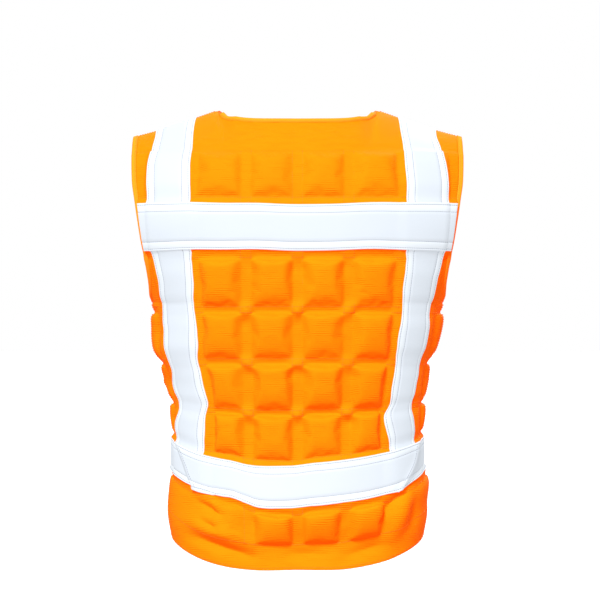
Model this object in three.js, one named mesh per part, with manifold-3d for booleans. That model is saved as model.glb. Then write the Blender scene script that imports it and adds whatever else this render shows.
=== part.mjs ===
// A quilted high-visibility cooling vest in the shape that it has when it is worn.
// Millimetres, +Z up. The wearer faces +Y, so the back of the vest faces -Y and their left is -X.
// The origin is the middle of the neck hole, level with the neck ends of the shoulder seams.
// The vest parts along the plane y = 0 into a back and two fronts, at the side and shoulder seams.
// A place on a face is a distance from its centre line and a drop below the origin.
import * as THREE from "three";
import Module from "manifold-3d";

// The body of the vest
const backLength = 611; // neck ends of the shoulder seams down to the hem at the centre back
const chestHalfWidth = 187;
const backDepth = 119;
const frontDepth = 112;
const roundness = 2.25; // 2 is an ellipse, and more is squarer
const hemRise = 42; // how much higher the side seams hang than the centre, low on the vest
const hemCurve = 3.2; // the hem stays level for longer with more, then climbs to the side seams
const clothThickness = 3;
const seamGap = 0.4;

// Shoulders, neck and armholes
const shoulderHalfWidth = 215;
const shoulderDrop = 40;
const shoulderArch = 150; // height over which each face curves forward to the shoulder seam
const archRoundness = 1.85; // 2 is an ellipse, and less is more pointed
const neckHalfWidth = 105;
const neckRoot = 20; // how far the shoulder's line would climb behind the neck
const backNeckDrop = 21;
const frontNeckDrop = 128;
const armholeDrop = 251;

// Quilting
const rowPitch = backLength * 0.109;
const columnPitch = 65.5;
const quiltTopDrop = backLength * 0.112;
const rowCount = 8;
const lowRowHeight = rowPitch * 0.7;
const columnChannel = 13;
const rowChannel = 9;
const pillowHeight = 10;

// Reflective tapes, bindings and zip
const tapeWidth = 60;
const tapeThickness = 1.2;
const tapeOffset = 170; // centre line of the vest to the middle of a shoulder tape
const tapeBed = 4; // how far the pillows still stand up under a tape
const bindingWidth = 7;
const bindingThickness = 0.8; // how far a binding stands proud of the cloth
const bindingGap = 0.4;
const zipWidth = 16;
const zipChainWidth = 6;
const zipThickness = 1.8;
const zipChainHeight = 3.6;
const sliderLength = 14;
const sliderWidth = 10;
const pullLength = 26;
const pullWidth = 7;
const gap = 0.3;

// Sections through the worn vest. drop is a share of the back length, width of the chest's half
// width, back and front of their depths, and dip of the hem's rise. quilt and tape say how far
// in the quilting and the shoulder tapes are drawn, as shares of their own places. Above the
// armpits the armholes set the width instead.
const sections = [
  { drop: 0.0, width: 1.0, back: 0.96, front: 0.86, dip: 0.0, quilt: 1.0, tape: 0.924 },
  { drop: 0.14, width: 1.0, back: 0.98, front: 0.93, dip: 0.0, quilt: 1.0, tape: 0.966 },
  { drop: 0.22, width: 1.0, back: 1.0, front: 0.98, dip: 0.0, quilt: 1.0, tape: 0.98 },
  { drop: 0.3, width: 1.0, back: 1.0, front: 1.0, dip: 0.0, quilt: 1.0, tape: 0.975 },
  { drop: 0.36, width: 1.0, back: 0.985, front: 1.0, dip: 0.0, quilt: 1.0, tape: 0.96 },
  { drop: 0.42, width: 1.0, back: 0.965, front: 0.98, dip: 0.0, quilt: 1.0, tape: 0.945 },
  { drop: 0.46, width: 0.985, back: 0.95, front: 0.965, dip: 0.0, quilt: 0.995, tape: 0.94 },
  { drop: 0.51, width: 0.945, back: 0.925, front: 0.95, dip: 0.0, quilt: 0.985, tape: 0.925 },
  { drop: 0.59, width: 0.875, back: 0.87, front: 0.92, dip: 0.08, quilt: 0.965, tape: 0.88 },
  { drop: 0.68, width: 0.857, back: 0.8, front: 0.9, dip: 0.4, quilt: 0.95, tape: 0.845 },
  { drop: 0.77, width: 0.845, back: 0.79, front: 0.9, dip: 0.78, quilt: 0.945, tape: 0.85 },
  { drop: 0.85, width: 0.845, back: 0.825, front: 0.91, dip: 0.95, quilt: 0.945, tape: 0.86 },
  { drop: 0.9, width: 0.88, back: 0.86, front: 0.93, dip: 1.0, quilt: 0.945, tape: 0.865 },
  { drop: 0.95, width: 0.893, back: 0.85, front: 0.93, dip: 1.0, quilt: 0.945, tape: 0.865 },
  { drop: 1.0, width: 0.865, back: 0.82, front: 0.91, dip: 1.0, quilt: 0.945, tape: 0.865 },
];

// Outline of an armhole. down is a share of its height, from the shoulder to the armpit, and out
// a share of the way from the armpit's half width to the shoulder's.
const armhole = [
  { down: 0.0, out: 1.0 },
  { down: 0.15, out: 1.02 },
  { down: 0.3, out: 0.97 },
  { down: 0.42, out: 0.8 },
  { down: 0.55, out: 0.6 },
  { down: 0.7, out: 0.36 },
  { down: 0.82, out: 0.1 },
  { down: 0.92, out: 0.0 },
  { down: 1.0, out: 0.0 },
];

const bindingInset = bindingWidth + bindingGap;
const armholeReach = 0.63; // how far from the seam plane an armhole's sides stand, of a face's depth
const armholeStraight = 0.42; // share of its height above the rounded bottom
const armholeCurve = 2.2; // 2 is an ellipse, and more is squarer
const armpitDrop = armholeDrop + bindingInset; // where the panels stop, below the binding
const edgeHalfWidth = shoulderHalfWidth - bindingInset;
const tapeRowInset = (rowPitch - tapeWidth) / 2;
const chestTapeTop = quiltTopDrop + rowPitch + tapeRowInset;
const waistTapeTop = quiltTopDrop + 6 * rowPitch + tapeRowInset;
const quiltBottomDrop = quiltTopDrop + (rowCount - 1) * rowPitch + lowRowHeight;

const mix = (a, b, t) => a + (b - a) * t;
const clamp = (v, low, high) => Math.min(high, Math.max(low, v));

// The value of a column at a place, on a smooth curve through the table's rows without overshoot.
function along(table, key, column, at) {
  const last = table.length - 1;
  const place = clamp(at, table[0][key], table[last][key]);
  let i = 0;
  while (i < last - 1 && place > table[i + 1][key]) i++;
  const step = (n) => table[n + 1][key] - table[n][key];
  const slope = (n) => (table[n + 1][column] - table[n][column]) / step(n);
  const tangent = (n) => {
    if (n === 0) return slope(0);
    if (n === last) return slope(last - 1);
    const [before, after] = [slope(n - 1), slope(n)];
    return before * after <= 0 ? 0 : (2 * before * after) / (before + after);
  };
  const t = (place - table[i][key]) / step(i);
  const h = step(i);
  return (
    table[i][column] * (1 + 2 * t) * (1 - t) ** 2 +
    tangent(i) * h * t * (1 - t) ** 2 +
    table[i + 1][column] * t * t * (3 - 2 * t) -
    tangent(i + 1) * h * t * t * (1 - t)
  );
}

const sectionAt = (column, drop) => along(sections, "drop", column, drop / backLength);

const back = { sign: -1, depth: (drop) => backDepth * sectionAt("back", drop) };
const front = { sign: 1, depth: (drop) => frontDepth * sectionAt("front", drop) };

// Height of the shoulder line at a distance from the centre, and of the panels' neck edges.
function ridge(x) {
  if (x < neckHalfWidth) return neckRoot * (1 - (x / neckHalfWidth) ** 2);
  return (-shoulderDrop * (x - neckHalfWidth)) / (shoulderHalfWidth - neckHalfWidth);
}
const backNeckSquareness = 6;
const frontNeckCurve = 1.25;
back.neckEdge = (x) => -backNeckDrop * (1 - (x / neckHalfWidth) ** backNeckSquareness);
front.neckEdge = (x) => -frontNeckDrop * (1 - (x / neckHalfWidth) ** frontNeckCurve);

// Half width of the panels' edge: the side seam, or the armhole above the armpit.
const seamHalfWidth = (drop) => chestHalfWidth * sectionAt("width", drop);
function edgeAt(drop) {
  if (drop >= armpitDrop) return seamHalfWidth(drop);
  const down = clamp((drop - shoulderDrop) / (armpitDrop - shoulderDrop), 0, 1);
  return mix(seamHalfWidth(armpitDrop), edgeHalfWidth, along(armhole, "down", "out", down));
}

// Half width at which a section would close. An armhole cuts it off before that.
function halfWidthAt(face, drop) {
  if (drop >= armpitDrop) return seamHalfWidth(drop);
  const roundStart = mix(shoulderDrop, armpitDrop, armholeStraight);
  const low = clamp((drop - roundStart) / (armpitDrop - roundStart), 0, 1);
  const reach = armholeReach * (1 - low ** armholeCurve) ** (1 / armholeCurve);
  return edgeAt(drop) / (1 - reach ** roundness) ** (1 / roundness);
}

// The inner surface: how far a face stands from the plane y = 0 at a half width and a height.
function standOff(face, x, z) {
  const width = halfWidthAt(face, -z);
  const across = clamp(x / width, 0, 1);
  const base = face.depth(-z) * (1 - across ** roundness) ** (1 / roundness);
  const climb = clamp((z - ridge(x) + shoulderArch) / shoulderArch, 0, 1);
  return face.sign * (seamGap / 2 + base * (1 - climb ** archRoundness) ** (1 / archRoundness));
}

// Steps round a section from the centre line, to turn a distance along the cloth into a half width.
const sectionSteps = 60;
const rulers = new Map();
function ruler(face, drop) {
  const key = face.sign + ":" + drop;
  if (!rulers.has(key)) {
    const marks = [{ x: 0, length: 0 }];
    let previous = [0, face.depth(drop)];
    for (let i = 1; i <= sectionSteps; i++) {
      const angle = (i / sectionSteps) * (Math.PI / 2);
      const x = halfWidthAt(face, drop) * Math.sin(angle) ** (2 / roundness);
      const y = face.depth(drop) * Math.abs(Math.cos(angle)) ** (2 / roundness);
      const length = marks[i - 1].length + Math.hypot(x - previous[0], y - previous[1]);
      marks.push({ x, length });
      previous = [x, y];
    }
    rulers.set(key, marks);
  }
  return rulers.get(key);
}
function convert(marks, from, to, value) {
  let i = 0;
  while (i < marks.length - 2 && value > marks[i + 1][from]) i++;
  const t = (value - marks[i][from]) / (marks[i + 1][from] - marks[i][from]);
  return mix(marks[i][to], marks[i + 1][to], clamp(t, 0, 1));
}

// The lines that run up half a face, from its centre to its edge, as distances along the cloth.
// rise is the share of a pillow's height there, and taped marks the lines under a shoulder tape.
// The named ones are those that other pieces follow.
const cell = (from, to, share) => mix(from, to, share);
const columnLines = [
  { rise: 0, at: (p) => p.start },
  { rise: 1, at: (p) => cell(p.start, p.seamOne - p.channel, 0.25) },
  { rise: 1, at: (p) => cell(p.start, p.seamOne - p.channel, 0.75) },
  { rise: 0, at: (p) => p.seamOne - p.channel },
  { rise: 0, at: (p) => p.seamOne + p.channel },
  { rise: 1, at: (p) => cell(p.seamOne + p.channel, p.neck, 0.4) },
  { rise: 1, name: "neck", at: (p) => p.neck },
  { rise: 0, at: (p) => p.tape - tapeWidth / 2 - p.channel },
  { rise: 0, taped: true, name: "tapeInner", at: (p) => p.tape - tapeWidth / 2 },
  { rise: 0, taped: true, at: (p) => p.tape },
  { rise: 0, taped: true, name: "tapeOuter", at: (p) => p.tape + tapeWidth / 2 },
  { rise: 0, name: "side", at: (p) => cell(p.tape + tapeWidth / 2, p.edge, 0.25) },
  { rise: 1, at: (p) => cell(p.tape + tapeWidth / 2, p.edge, 0.45) },
  { rise: 1, at: (p) => cell(p.tape + tapeWidth / 2, p.edge, 0.78) },
  { rise: 0.35, at: (p) => p.edge },
];
const lineNamed = (name) => columnLines.findIndex((line) => line.name === name);
const neckLine = lineNamed("neck");
const tapeLines = { inner: lineNamed("tapeInner"), outer: lineNamed("tapeOuter") };
const sideLine = lineNamed("side");
const lastLine = columnLines.length - 1;

function places(face, drop, edge) {
  const quilt = sectionAt("quilt", drop);
  return {
    start: face === back ? columnChannel / 2 : zipWidth / 2 + gap,
    channel: columnChannel / 2,
    seamOne: columnPitch * quilt,
    neck: neckHalfWidth * quilt,
    tape: tapeOffset * sectionAt("tape", drop),
    edge,
  };
}

// The quilted rows of a face, with the drops of each pillow's top and bottom edges.
function quiltRows(face) {
  return Array.from({ length: rowCount }, (_, i) => {
    const top = quiltTopDrop + i * rowPitch;
    const bottom = i === rowCount - 1 ? quiltBottomDrop : top + rowPitch;
    const tape = (i === 1 && face === back) || i === 6;
    const inset = tape ? tapeRowInset : rowChannel / 2;
    return { index: i, tape, top: top + inset, bottom: bottom - inset };
  }).filter((row) => face === back || row.index > 0);
}
back.rows = quiltRows(back);
front.rows = quiltRows(front);

// How full the quilting is at a drop: 1 on a pillow's crown, 0 in the channel between two rows.
const crownStart = 0.25;
function fullness(face, drop) {
  const row = face.rows.find((r) => drop >= r.top - 1e-6 && drop <= r.bottom + 1e-6);
  if (!row) return { row: null, share: 0 };
  if (row.tape) return { row, share: 1 };
  const t = (drop - row.top) / (row.bottom - row.top);
  return { row, share: clamp(Math.min(t, 1 - t) / crownStart, 0, 1) };
}

// How far the outside of a panel stands from its inside at a line and a drop.
const bedFloor = 0.5; // share of the tape's bed that is left between two rows
const lowSideFill = 0.45; // the lowest row's side pillows are slack
function wall(face, line, drop) {
  const { row, share } = fullness(face, drop);
  if (row && row.tape) return clothThickness + tapeBed;
  if (columnLines[line].taped && drop < waistTapeTop && drop > quiltTopDrop) {
    return clothThickness + tapeBed * mix(bedFloor, 1, share);
  }
  const beside = line >= sideLine;
  if (beside && (drop < armpitDrop || (row && row.index === rowCount - 1))) return clothThickness;
  const slack = row && row.index === rowCount - 1 && line > 3 ? lowSideFill : 1;
  return clothThickness + pillowHeight * slack * share * columnLines[line].rise;
}

// The drops at which a face has lines across it, up to where its yoke starts.
function dropLines(face) {
  const drops = [quiltBottomDrop, mix(quiltBottomDrop, backLength, 0.5), backLength];
  for (const row of face.rows) {
    const shares = row.tape ? [0, 0.5, 1] : [0, crownStart, 1 - crownStart, 1];
    for (const share of shares) drops.push(mix(row.top, row.bottom, share));
  }
  for (const share of [0, 0.02, 0.05, 0.095]) drops.push(armpitDrop - armholeDrop * share);
  return drops.sort((a, b) => b - a);
}

// One half of a face as rows of points on its inner surface, from the hem up to its top edge.
// Each point holds its place, its drop and how thick the cloth is there.
const yokeSteps = 6;
function halfGrid(face) {
  const rows = dropLines(face).map((drop) => {
    const marks = ruler(face, drop);
    const edge = convert(marks, "x", "length", edgeAt(drop));
    const spots = places(face, drop, edge);
    const dip = hemRise * sectionAt("dip", drop);
    return columnLines.map((column, line) => {
      const length = column.at(spots);
      const x = line === lastLine ? edgeAt(drop) : convert(marks, "length", "x", length);
      const z = -drop + dip * (1 - (1 - (length / edge) ** hemCurve) ** 2);
      return { x, z, drop, thickness: wall(face, line, drop), stand: standOffRow(face, x, drop) };
    });
  });
  const base = rows[rows.length - 1];
  const top = places(face, 0, edgeHalfWidth);
  for (let step = 1; step <= yokeSteps; step++) {
    const t = step / yokeSteps;
    rows.push(
      columnLines.map((column, line) => {
        let x = mix(base[line].x, column.at(top), t);
        let z = 0;
        for (let pass = 0; pass < 4; pass++) {
          const foot = ridge(x) - shoulderArch;
          const summit = line < neckLine ? face.neckEdge(x) : ridge(x);
          const low = Math.asin(clamp((base[line].z - foot) / shoulderArch, 0, 1));
          const high = Math.asin(clamp((summit - foot) / shoulderArch, 0, 1));
          z = foot + shoulderArch * Math.sin(mix(low, high, t));
          if (line === lastLine) x = edgeAt(-z);
        }
        return { x, z, drop: -z, thickness: wall(face, line, -z), stand: standOff(face, x, z) };
      }),
    );
  }
  return rows;
}
function standOffRow(face, x, drop) {
  return standOff(face, x, -drop);
}

// A whole face from its right half mirrored to the left, with outward directions.
function faceGrid(face) {
  const half = halfGrid(face);
  const rows = half.map((row) => {
    const right = row.map((p) => ({ ...p, point: new THREE.Vector3(p.x, p.stand, p.z) }));
    const left = row.map((p) => ({ ...p, point: new THREE.Vector3(-p.x, p.stand, p.z) }));
    return [...left.reverse(), ...right];
  });
  const wide = rows[0].length;
  rows.forEach((row, j) =>
    row.forEach((p, k) => {
      const across = rows[j][Math.min(k + 1, wide - 1)].point
        .clone()
        .sub(rows[j][Math.max(k - 1, 0)].point);
      const up = rows[Math.min(j + 1, rows.length - 1)][k].point
        .clone()
        .sub(rows[Math.max(j - 1, 0)][k].point);
      p.out = across.cross(up).multiplyScalar(-face.sign).normalize();
      const onSeam = Math.abs(p.point.y) < seamGap;
      if (onSeam) p.out.setY(0).normalize();
    }),
  );
  return rows;
}

// A closed skin of triangles, built from points that are shared by their numbers.
class Skin {
  constructor() {
    this.points = [];
    this.faces = [];
  }
  add(point) {
    return this.points.push(point) - 1;
  }
  // Each square splits from its low inner corner to its high outer one, so that layers agree.
  sheet(grid, flip) {
    const rank = (id) => Math.abs(this.points[id].x) + this.points[id].z;
    for (let j = 0; j + 1 < grid.length; j++) {
      for (let k = 0; k + 1 < grid[j].length; k++) {
        const [a, b, c, d] = [grid[j][k], grid[j][k + 1], grid[j + 1][k + 1], grid[j + 1][k]];
        const across = Math.abs(rank(a) - rank(c)) > Math.abs(rank(b) - rank(d));
        const pair = across ? [[a, b, c], [a, c, d]] : [[a, b, d], [b, c, d]];
        this.faces.push(...(flip ? pair.map(([p, q, r]) => [p, r, q]) : pair));
      }
    }
  }
  // Joins two edges that start and end together. Each entry has a vertex and a place along it.
  // Where both move on at the same place, oneLeads says whether the first edge does so first.
  strip(one, two, oneLeads) {
    let [i, j] = [0, 0];
    while (i < one.length - 1 || j < two.length - 1) {
      const [nextOne, nextTwo] = [one[i + 1]?.at ?? Infinity, two[j + 1]?.at ?? Infinity];
      const lead = () => oneLeads((this.points[one[i].id].x + this.points[one[i + 1].id].x) / 2);
      const moveOne = nextOne < nextTwo || (nextOne === nextTwo && lead());
      if (moveOne) this.faces.push([one[i].id, two[j].id, one[++i].id]);
      else this.faces.push([one[i].id, two[j].id, two[++j].id]);
    }
  }
  geometry() {
    let volume = 0;
    const [a, b, c] = [new THREE.Vector3(), new THREE.Vector3(), new THREE.Vector3()];
    for (const [i, j, k] of this.faces) {
      a.copy(this.points[i]);
      b.copy(this.points[j]);
      c.copy(this.points[k]);
      volume += a.dot(b.cross(c)) / 6;
    }
    const order = volume < 0 ? ([i, j, k]) => [i, k, j] : (face) => face;
    const geometry = new THREE.BufferGeometry();
    const flat = this.points.flatMap((p) => [p.x, p.y, p.z]);
    geometry.setAttribute("position", new THREE.Float32BufferAttribute(flat, 3));
    geometry.setIndex(this.faces.flatMap(order));
    geometry.computeVertexNormals();
    return geometry;
  }
}

// Strips all round between the borders of two sheets, given the rows and lines that the second has.
function closeBorder(skin, outer, inner, rowsKept, linesKept) {
  const side = (grid, rows, lines) => ({
    low: lines.map((at, n) => ({ id: grid[0][n], at })),
    high: lines.map((at, n) => ({ id: grid[rows.length - 1][n], at })),
    first: rows.map((at, n) => ({ id: grid[n][0], at })),
    last: rows.map((at, n) => ({ id: grid[n][lines.length - 1], at })),
  });
  const [o, i] = [side(outer, count(outer), count(outer[0])), side(inner, rowsKept, linesKept)];
  skin.strip(o.low, i.low, (x) => x > 0);
  skin.strip(i.high, o.high, (x) => x < 0);
  skin.strip(i.first, o.first, () => true);
  skin.strip(o.last, i.last, () => false);
}
const count = (list) => list.map((_, n) => n);

// A panel: the quilted outside over a plainer inside that has about half the lines.
function panelGeometry(grid) {
  const skin = new Skin();
  const keep = (list) => count(list).filter((n) => n % 2 === 0 && n > 0 && n < list.length - 1);
  const [rowsKept, linesKept] = [keep(grid), keep(grid[0])];
  const lift = (p) => p.point.clone().addScaledVector(p.out, p.thickness);
  const outer = grid.map((row) => row.map((p) => skin.add(lift(p))));
  const onBorder = (j, k) => j % (grid.length - 1) === 0 || k % (grid[0].length - 1) === 0;
  const kept = (j, k) => rowsKept.includes(j) && linesKept.includes(k);
  const inner = grid.map((row, j) =>
    row.map((p, k) => (onBorder(j, k) || kept(j, k) ? skin.add(p.point.clone()) : null)),
  );
  const core = rowsKept.map((j) => linesKept.map((k) => inner[j][k]));
  skin.sheet(outer, false);
  closeBorder(skin, outer, inner, count(grid), count(grid[0]));
  closeBorder(skin, inner, core, rowsKept, linesKept);
  skin.sheet(core, true);
  return skin.geometry();
}

// A tape that lies on the cloth along a grid of places. level counts the tapes that it lies over.
function tapeGeometry(grid) {
  const skin = new Skin();
  const lift = (p, extra) => p.point.clone().addScaledVector(p.out, p.thickness + extra);
  const under = (p) => gap + p.level * (tapeThickness + gap);
  const top = grid.map((row) => row.map((p) => skin.add(lift(p, under(p) + tapeThickness))));
  const bottom = grid.map((row) => row.map((p) => skin.add(lift(p, under(p)))));
  skin.sheet(top, false);
  skin.sheet(bottom, true);
  closeBorder(skin, top, bottom, count(grid), count(grid[0]));
  return skin.geometry();
}

// A solid with the same closed outline at each of its rings. Its squares split one way, or the
// other way on the spans that are turned.
function loft(rings, closed, turned = () => false) {
  const skin = new Skin();
  const ids = rings.map((ring) => ring.map((p) => skin.add(p)));
  const around = ids[0].length;
  const spans = closed ? ids.length : ids.length - 1;
  for (let r = 0; r < spans; r++) {
    const [here, next] = [ids[r], ids[(r + 1) % ids.length]];
    for (let n = 0; n < around; n++) {
      const m = (n + 1) % around;
      if (turned(r)) skin.faces.push([here[n], here[m], next[n]], [here[m], next[m], next[n]]);
      else skin.faces.push([here[n], here[m], next[m]], [here[n], next[m], next[n]]);
    }
  }
  return { skin, ids };
}
function closeEnds({ skin, ids }, profile) {
  const flat = profile.map(([across, out]) => new THREE.Vector2(across, out));
  for (const [a, b, c] of THREE.ShapeUtils.triangulateShape(flat, [])) {
    const [first, last] = [ids[0], ids[ids.length - 1]];
    skin.faces.push([first[a], first[c], first[b]], [last[a], last[b], last[c]]);
  }
}

// A binding along a panel's edge, with its section standing away from the edge in the cloth.
// Each point of the edge has its place and the cloth's outward direction there.
function bindingGeometry(edge, away, closed) {
  const profile = [
    [bindingGap, -bindingThickness],
    [bindingInset, -bindingThickness],
    [bindingInset, clothThickness + bindingThickness],
    [bindingGap, clothThickness + bindingThickness],
  ];
  const size = edge.length;
  const rings = edge.map((p, i) => {
    const before = edge[closed ? (i + size - 1) % size : Math.max(i - 1, 0)].point;
    const after = edge[closed ? (i + 1) % size : Math.min(i + 1, size - 1)].point;
    const ahead = after.clone().sub(before).normalize();
    const side = ahead.cross(p.out).normalize().multiplyScalar(away);
    return profile.map(([across, out]) =>
      p.point.clone().addScaledVector(side, across).addScaledVector(p.out, out),
    );
  });
  const onRight = (r) => !closed && edge[r].point.x + edge[r + 1].point.x > 0;
  const body = loft(rings, closed, (r) => edge[r].point.y > 0 !== onRight(r));
  if (!closed) closeEnds(body, profile);
  return body.skin.geometry();
}

const cloth = { color: 0xff8a00, roughness: 0.75, metalness: 0 };
const finishes = {
  shell: new THREE.MeshStandardMaterial(cloth),
  binding: new THREE.MeshStandardMaterial({ ...cloth, color: 0xffa51e }),
  tape: new THREE.MeshStandardMaterial({ color: 0xeaf0f5, roughness: 0.45, metalness: 0.1 }),
  zip: new THREE.MeshStandardMaterial({ color: 0xf28a1c, roughness: 0.5, metalness: 0 }),
};

const vest = new THREE.Group();
function addPiece(name, geometry, finish) {
  const mesh = new THREE.Mesh(geometry, finish);
  mesh.name = name;
  vest.add(mesh);
}

const backGrid = faceGrid(back);
const frontGrid = faceGrid(front);
const half = columnLines.length;
const lineOf = (side, line) => (side > 0 ? half + line : half - 1 - line);

// Panels
const rightOf = (grid) => grid.map((row) => row.slice(half));
const leftOf = (grid) => grid.map((row) => row.slice(0, half));
addPiece("back_panel", panelGeometry(backGrid), finishes.shell);
addPiece("front_panel_left", panelGeometry(leftOf(frontGrid)), finishes.shell);
addPiece("front_panel_right", panelGeometry(rightOf(frontGrid)), finishes.shell);

// Shoulder tapes, each from under the back waist tape over the shoulder to the front one
const waistTapeMiddle = waistTapeTop + tapeWidth / 2;
function shoulderTape(side) {
  const lines = [tapeLines.inner, tapeLines.inner + 1, tapeLines.outer].map((n) => lineOf(side, n));
  const strip = (grid) =>
    grid
      .filter((row) => row[half].drop <= waistTapeMiddle + 1e-6)
      .map((row) => lines.map((k) => ({ ...row[k], level: 0 })));
  return [...strip(backGrid), ...strip(frontGrid).reverse()];
}

// The rows of a face that lie under a tape of this drop
const rowsUnder = (grid, top) =>
  grid.filter((row) => {
    const drop = row[half].drop;
    return drop >= top - 1e-6 && drop <= top + tapeWidth + 1e-6;
  });
const overShoulderTape = (line) => (line >= tapeLines.inner && line <= tapeLines.outer ? 1 : 0);

function chestTape() {
  return rowsUnder(backGrid, chestTapeTop).map((row) =>
    row.map((p, k) => ({ ...p, level: overShoulderTape(k < half ? half - 1 - k : k - half) })),
  );
}

// The back waist tape ends short of the side seams, over the ends of the front ones.
function waistTapeBack() {
  const last = sideLine + 1;
  return rowsUnder(backGrid, waistTapeTop).map((row) =>
    row.slice(lineOf(-1, last), lineOf(1, last) + 1).map((p, n) => {
      const k = n + lineOf(-1, last);
      const line = k < half ? half - 1 - k : k - half;
      return { ...p, level: line >= tapeLines.inner ? 1 : 0 };
    }),
  );
}
function waistTapeFront(side) {
  const fronts = rowsUnder(frontGrid, waistTapeTop);
  const backs = rowsUnder(backGrid, waistTapeTop);
  const around = count(columnLines);
  const beyond = around.slice(sideLine).reverse();
  return fronts.map((row, j) => [
    ...around.map((n) => ({ ...row[lineOf(side, n)], level: overShoulderTape(n) })),
    ...beyond.map((n) => ({ ...backs[j][lineOf(side, n)], level: 0 })),
  ]);
}

addPiece("chest_tape", tapeGeometry(chestTape()), finishes.tape);
addPiece("waist_tape_back", tapeGeometry(waistTapeBack()), finishes.tape);
for (const [name, side] of [["left", -1], ["right", 1]]) {
  addPiece(`shoulder_tape_${name}`, tapeGeometry(shoulderTape(side)), finishes.tape);
  addPiece(`waist_tape_front_${name}`, tapeGeometry(waistTapeFront(side)), finishes.tape);
}

// Armhole bindings: up the back edge, over the shoulder and down the front edge to the armpit
function armholeEdge(side) {
  const up = (grid) =>
    grid
      .filter((row) => row[lineOf(side, lastLine)].drop <= armpitDrop + 1e-6)
      .map((row) => row[lineOf(side, lastLine)]);
  return [...up(backGrid), ...up(frontGrid).reverse()];
}
// Neck binding: from the zip up the left front, round the back and down to the zip
function neckEdge() {
  const across = (grid) => grid[grid.length - 1];
  const neck = Array.from({ length: neckLine + 1 }, (_, n) => n);
  const leftFront = neck.map((n) => across(frontGrid)[lineOf(-1, n)]);
  const rightFront = neck.map((n) => across(frontGrid)[lineOf(1, n)]).reverse();
  const behind = across(backGrid).slice(lineOf(-1, neckLine), lineOf(1, neckLine) + 1);
  return [...leftFront, ...behind, ...rightFront];
}
addPiece("armhole_binding_left", bindingGeometry(armholeEdge(-1), -1, true), finishes.binding);
addPiece("armhole_binding_right", bindingGeometry(armholeEdge(1), 1, true), finishes.binding);
addPiece("neck_binding", bindingGeometry(neckEdge(), -1, false), finishes.binding);

// The front zip: a strip with a raised chain, a slider at its top and the pull below it
async function zipGeometry() {
  const wasm = await Module();
  wasm.setup();
  const solid = (geometry) => {
    const points = geometry.getAttribute("position").array;
    const mesh = { numProp: 3, vertProperties: points, triVerts: new Uint32Array(geometry.index.array) };
    return new wasm.Manifold(new wasm.Mesh(mesh));
  };
  const [side, chain] = [zipWidth / 2, zipChainWidth / 2];
  const profile = [
    [-side, 0],
    [side, 0],
    [side, zipThickness],
    [chain, zipThickness],
    [chain, zipChainHeight],
    [-chain, zipChainHeight],
    [-chain, zipThickness],
    [-side, zipThickness],
  ];
  const middle = frontGrid.map((row) => row[half]);
  const rings = middle.map((p) => {
    const out = new THREE.Vector3(0, p.out.y, p.out.z).normalize();
    const foot = new THREE.Vector3(0, p.point.y, p.point.z);
    return profile.map(([across, height]) =>
      foot.clone().addScaledVector(out, height).add(new THREE.Vector3(across, 0, 0)),
    );
  });
  const body = loft(rings, false);
  closeEnds(body, profile);
  const top = middle[middle.length - 1];
  const lean = Math.atan2(-top.out.z, top.out.y);
  const box = (wide, tall, thick, below) => {
    const g = new THREE.BoxGeometry(wide, thick, tall).toNonIndexed();
    g.deleteAttribute("normal");
    g.deleteAttribute("uv");
    g.applyMatrix4(new THREE.Matrix4().makeTranslation(0, thick / 2 + zipThickness, -below - tall / 2));
    g.applyMatrix4(new THREE.Matrix4().makeRotationX(-lean));
    g.applyMatrix4(new THREE.Matrix4().makeTranslation(0, top.point.y, top.point.z));
    return solid(merged(g));
  };
  const fused = solid(body.skin.geometry())
    .add(box(sliderWidth, sliderLength, zipChainHeight, 3))
    .add(box(pullWidth, pullLength, zipChainHeight - 0.6, sliderLength));
  const made = fused.getMesh();
  const geometry = new THREE.BufferGeometry();
  geometry.setAttribute("position", new THREE.BufferAttribute(made.vertProperties, 3));
  geometry.setIndex(new THREE.BufferAttribute(made.triVerts, 1));
  geometry.computeVertexNormals();
  return geometry;
}
function merged(geometry) {
  const points = geometry.getAttribute("position");
  const seen = new Map();
  const [flat, index] = [[], []];
  for (let i = 0; i < points.count; i++) {
    const p = [points.getX(i), points.getY(i), points.getZ(i)];
    const key = p.map((v) => v.toFixed(3)).join();
    if (!seen.has(key)) {
      seen.set(key, seen.size);
      flat.push(...p);
    }
    index.push(seen.get(key));
  }
  const joined = new THREE.BufferGeometry();
  joined.setAttribute("position", new THREE.Float32BufferAttribute(flat, 3));
  joined.setIndex(index);
  return joined;
}
addPiece("front_zip", await zipGeometry(), finishes.zip);

export default vest;
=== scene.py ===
# A quilted high-visibility cooling vest, kept in the shape that it has when it is worn.
# Tables and settings are in millimetres, meshes in metres. The back of the vest faces -Y.
# A place on a face is a distance round from its centre line and a drop below the origin.
import math

import bmesh
import bpy
import numpy as np
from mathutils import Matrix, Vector


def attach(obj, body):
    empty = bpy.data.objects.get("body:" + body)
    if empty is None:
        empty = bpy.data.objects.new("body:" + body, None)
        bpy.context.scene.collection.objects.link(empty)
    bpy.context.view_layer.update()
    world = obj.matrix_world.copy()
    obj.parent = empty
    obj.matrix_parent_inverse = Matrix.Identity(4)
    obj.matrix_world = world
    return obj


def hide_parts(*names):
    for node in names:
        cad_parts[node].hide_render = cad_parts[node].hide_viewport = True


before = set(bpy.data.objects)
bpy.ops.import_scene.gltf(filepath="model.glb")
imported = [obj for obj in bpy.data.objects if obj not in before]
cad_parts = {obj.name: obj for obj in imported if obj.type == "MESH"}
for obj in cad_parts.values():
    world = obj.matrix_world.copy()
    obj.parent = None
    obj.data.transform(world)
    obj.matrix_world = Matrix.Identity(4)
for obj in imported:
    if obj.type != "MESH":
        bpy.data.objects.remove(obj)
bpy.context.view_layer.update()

scene = bpy.context.scene
print("frame loaded:", len(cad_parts), "nodes")

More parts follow.
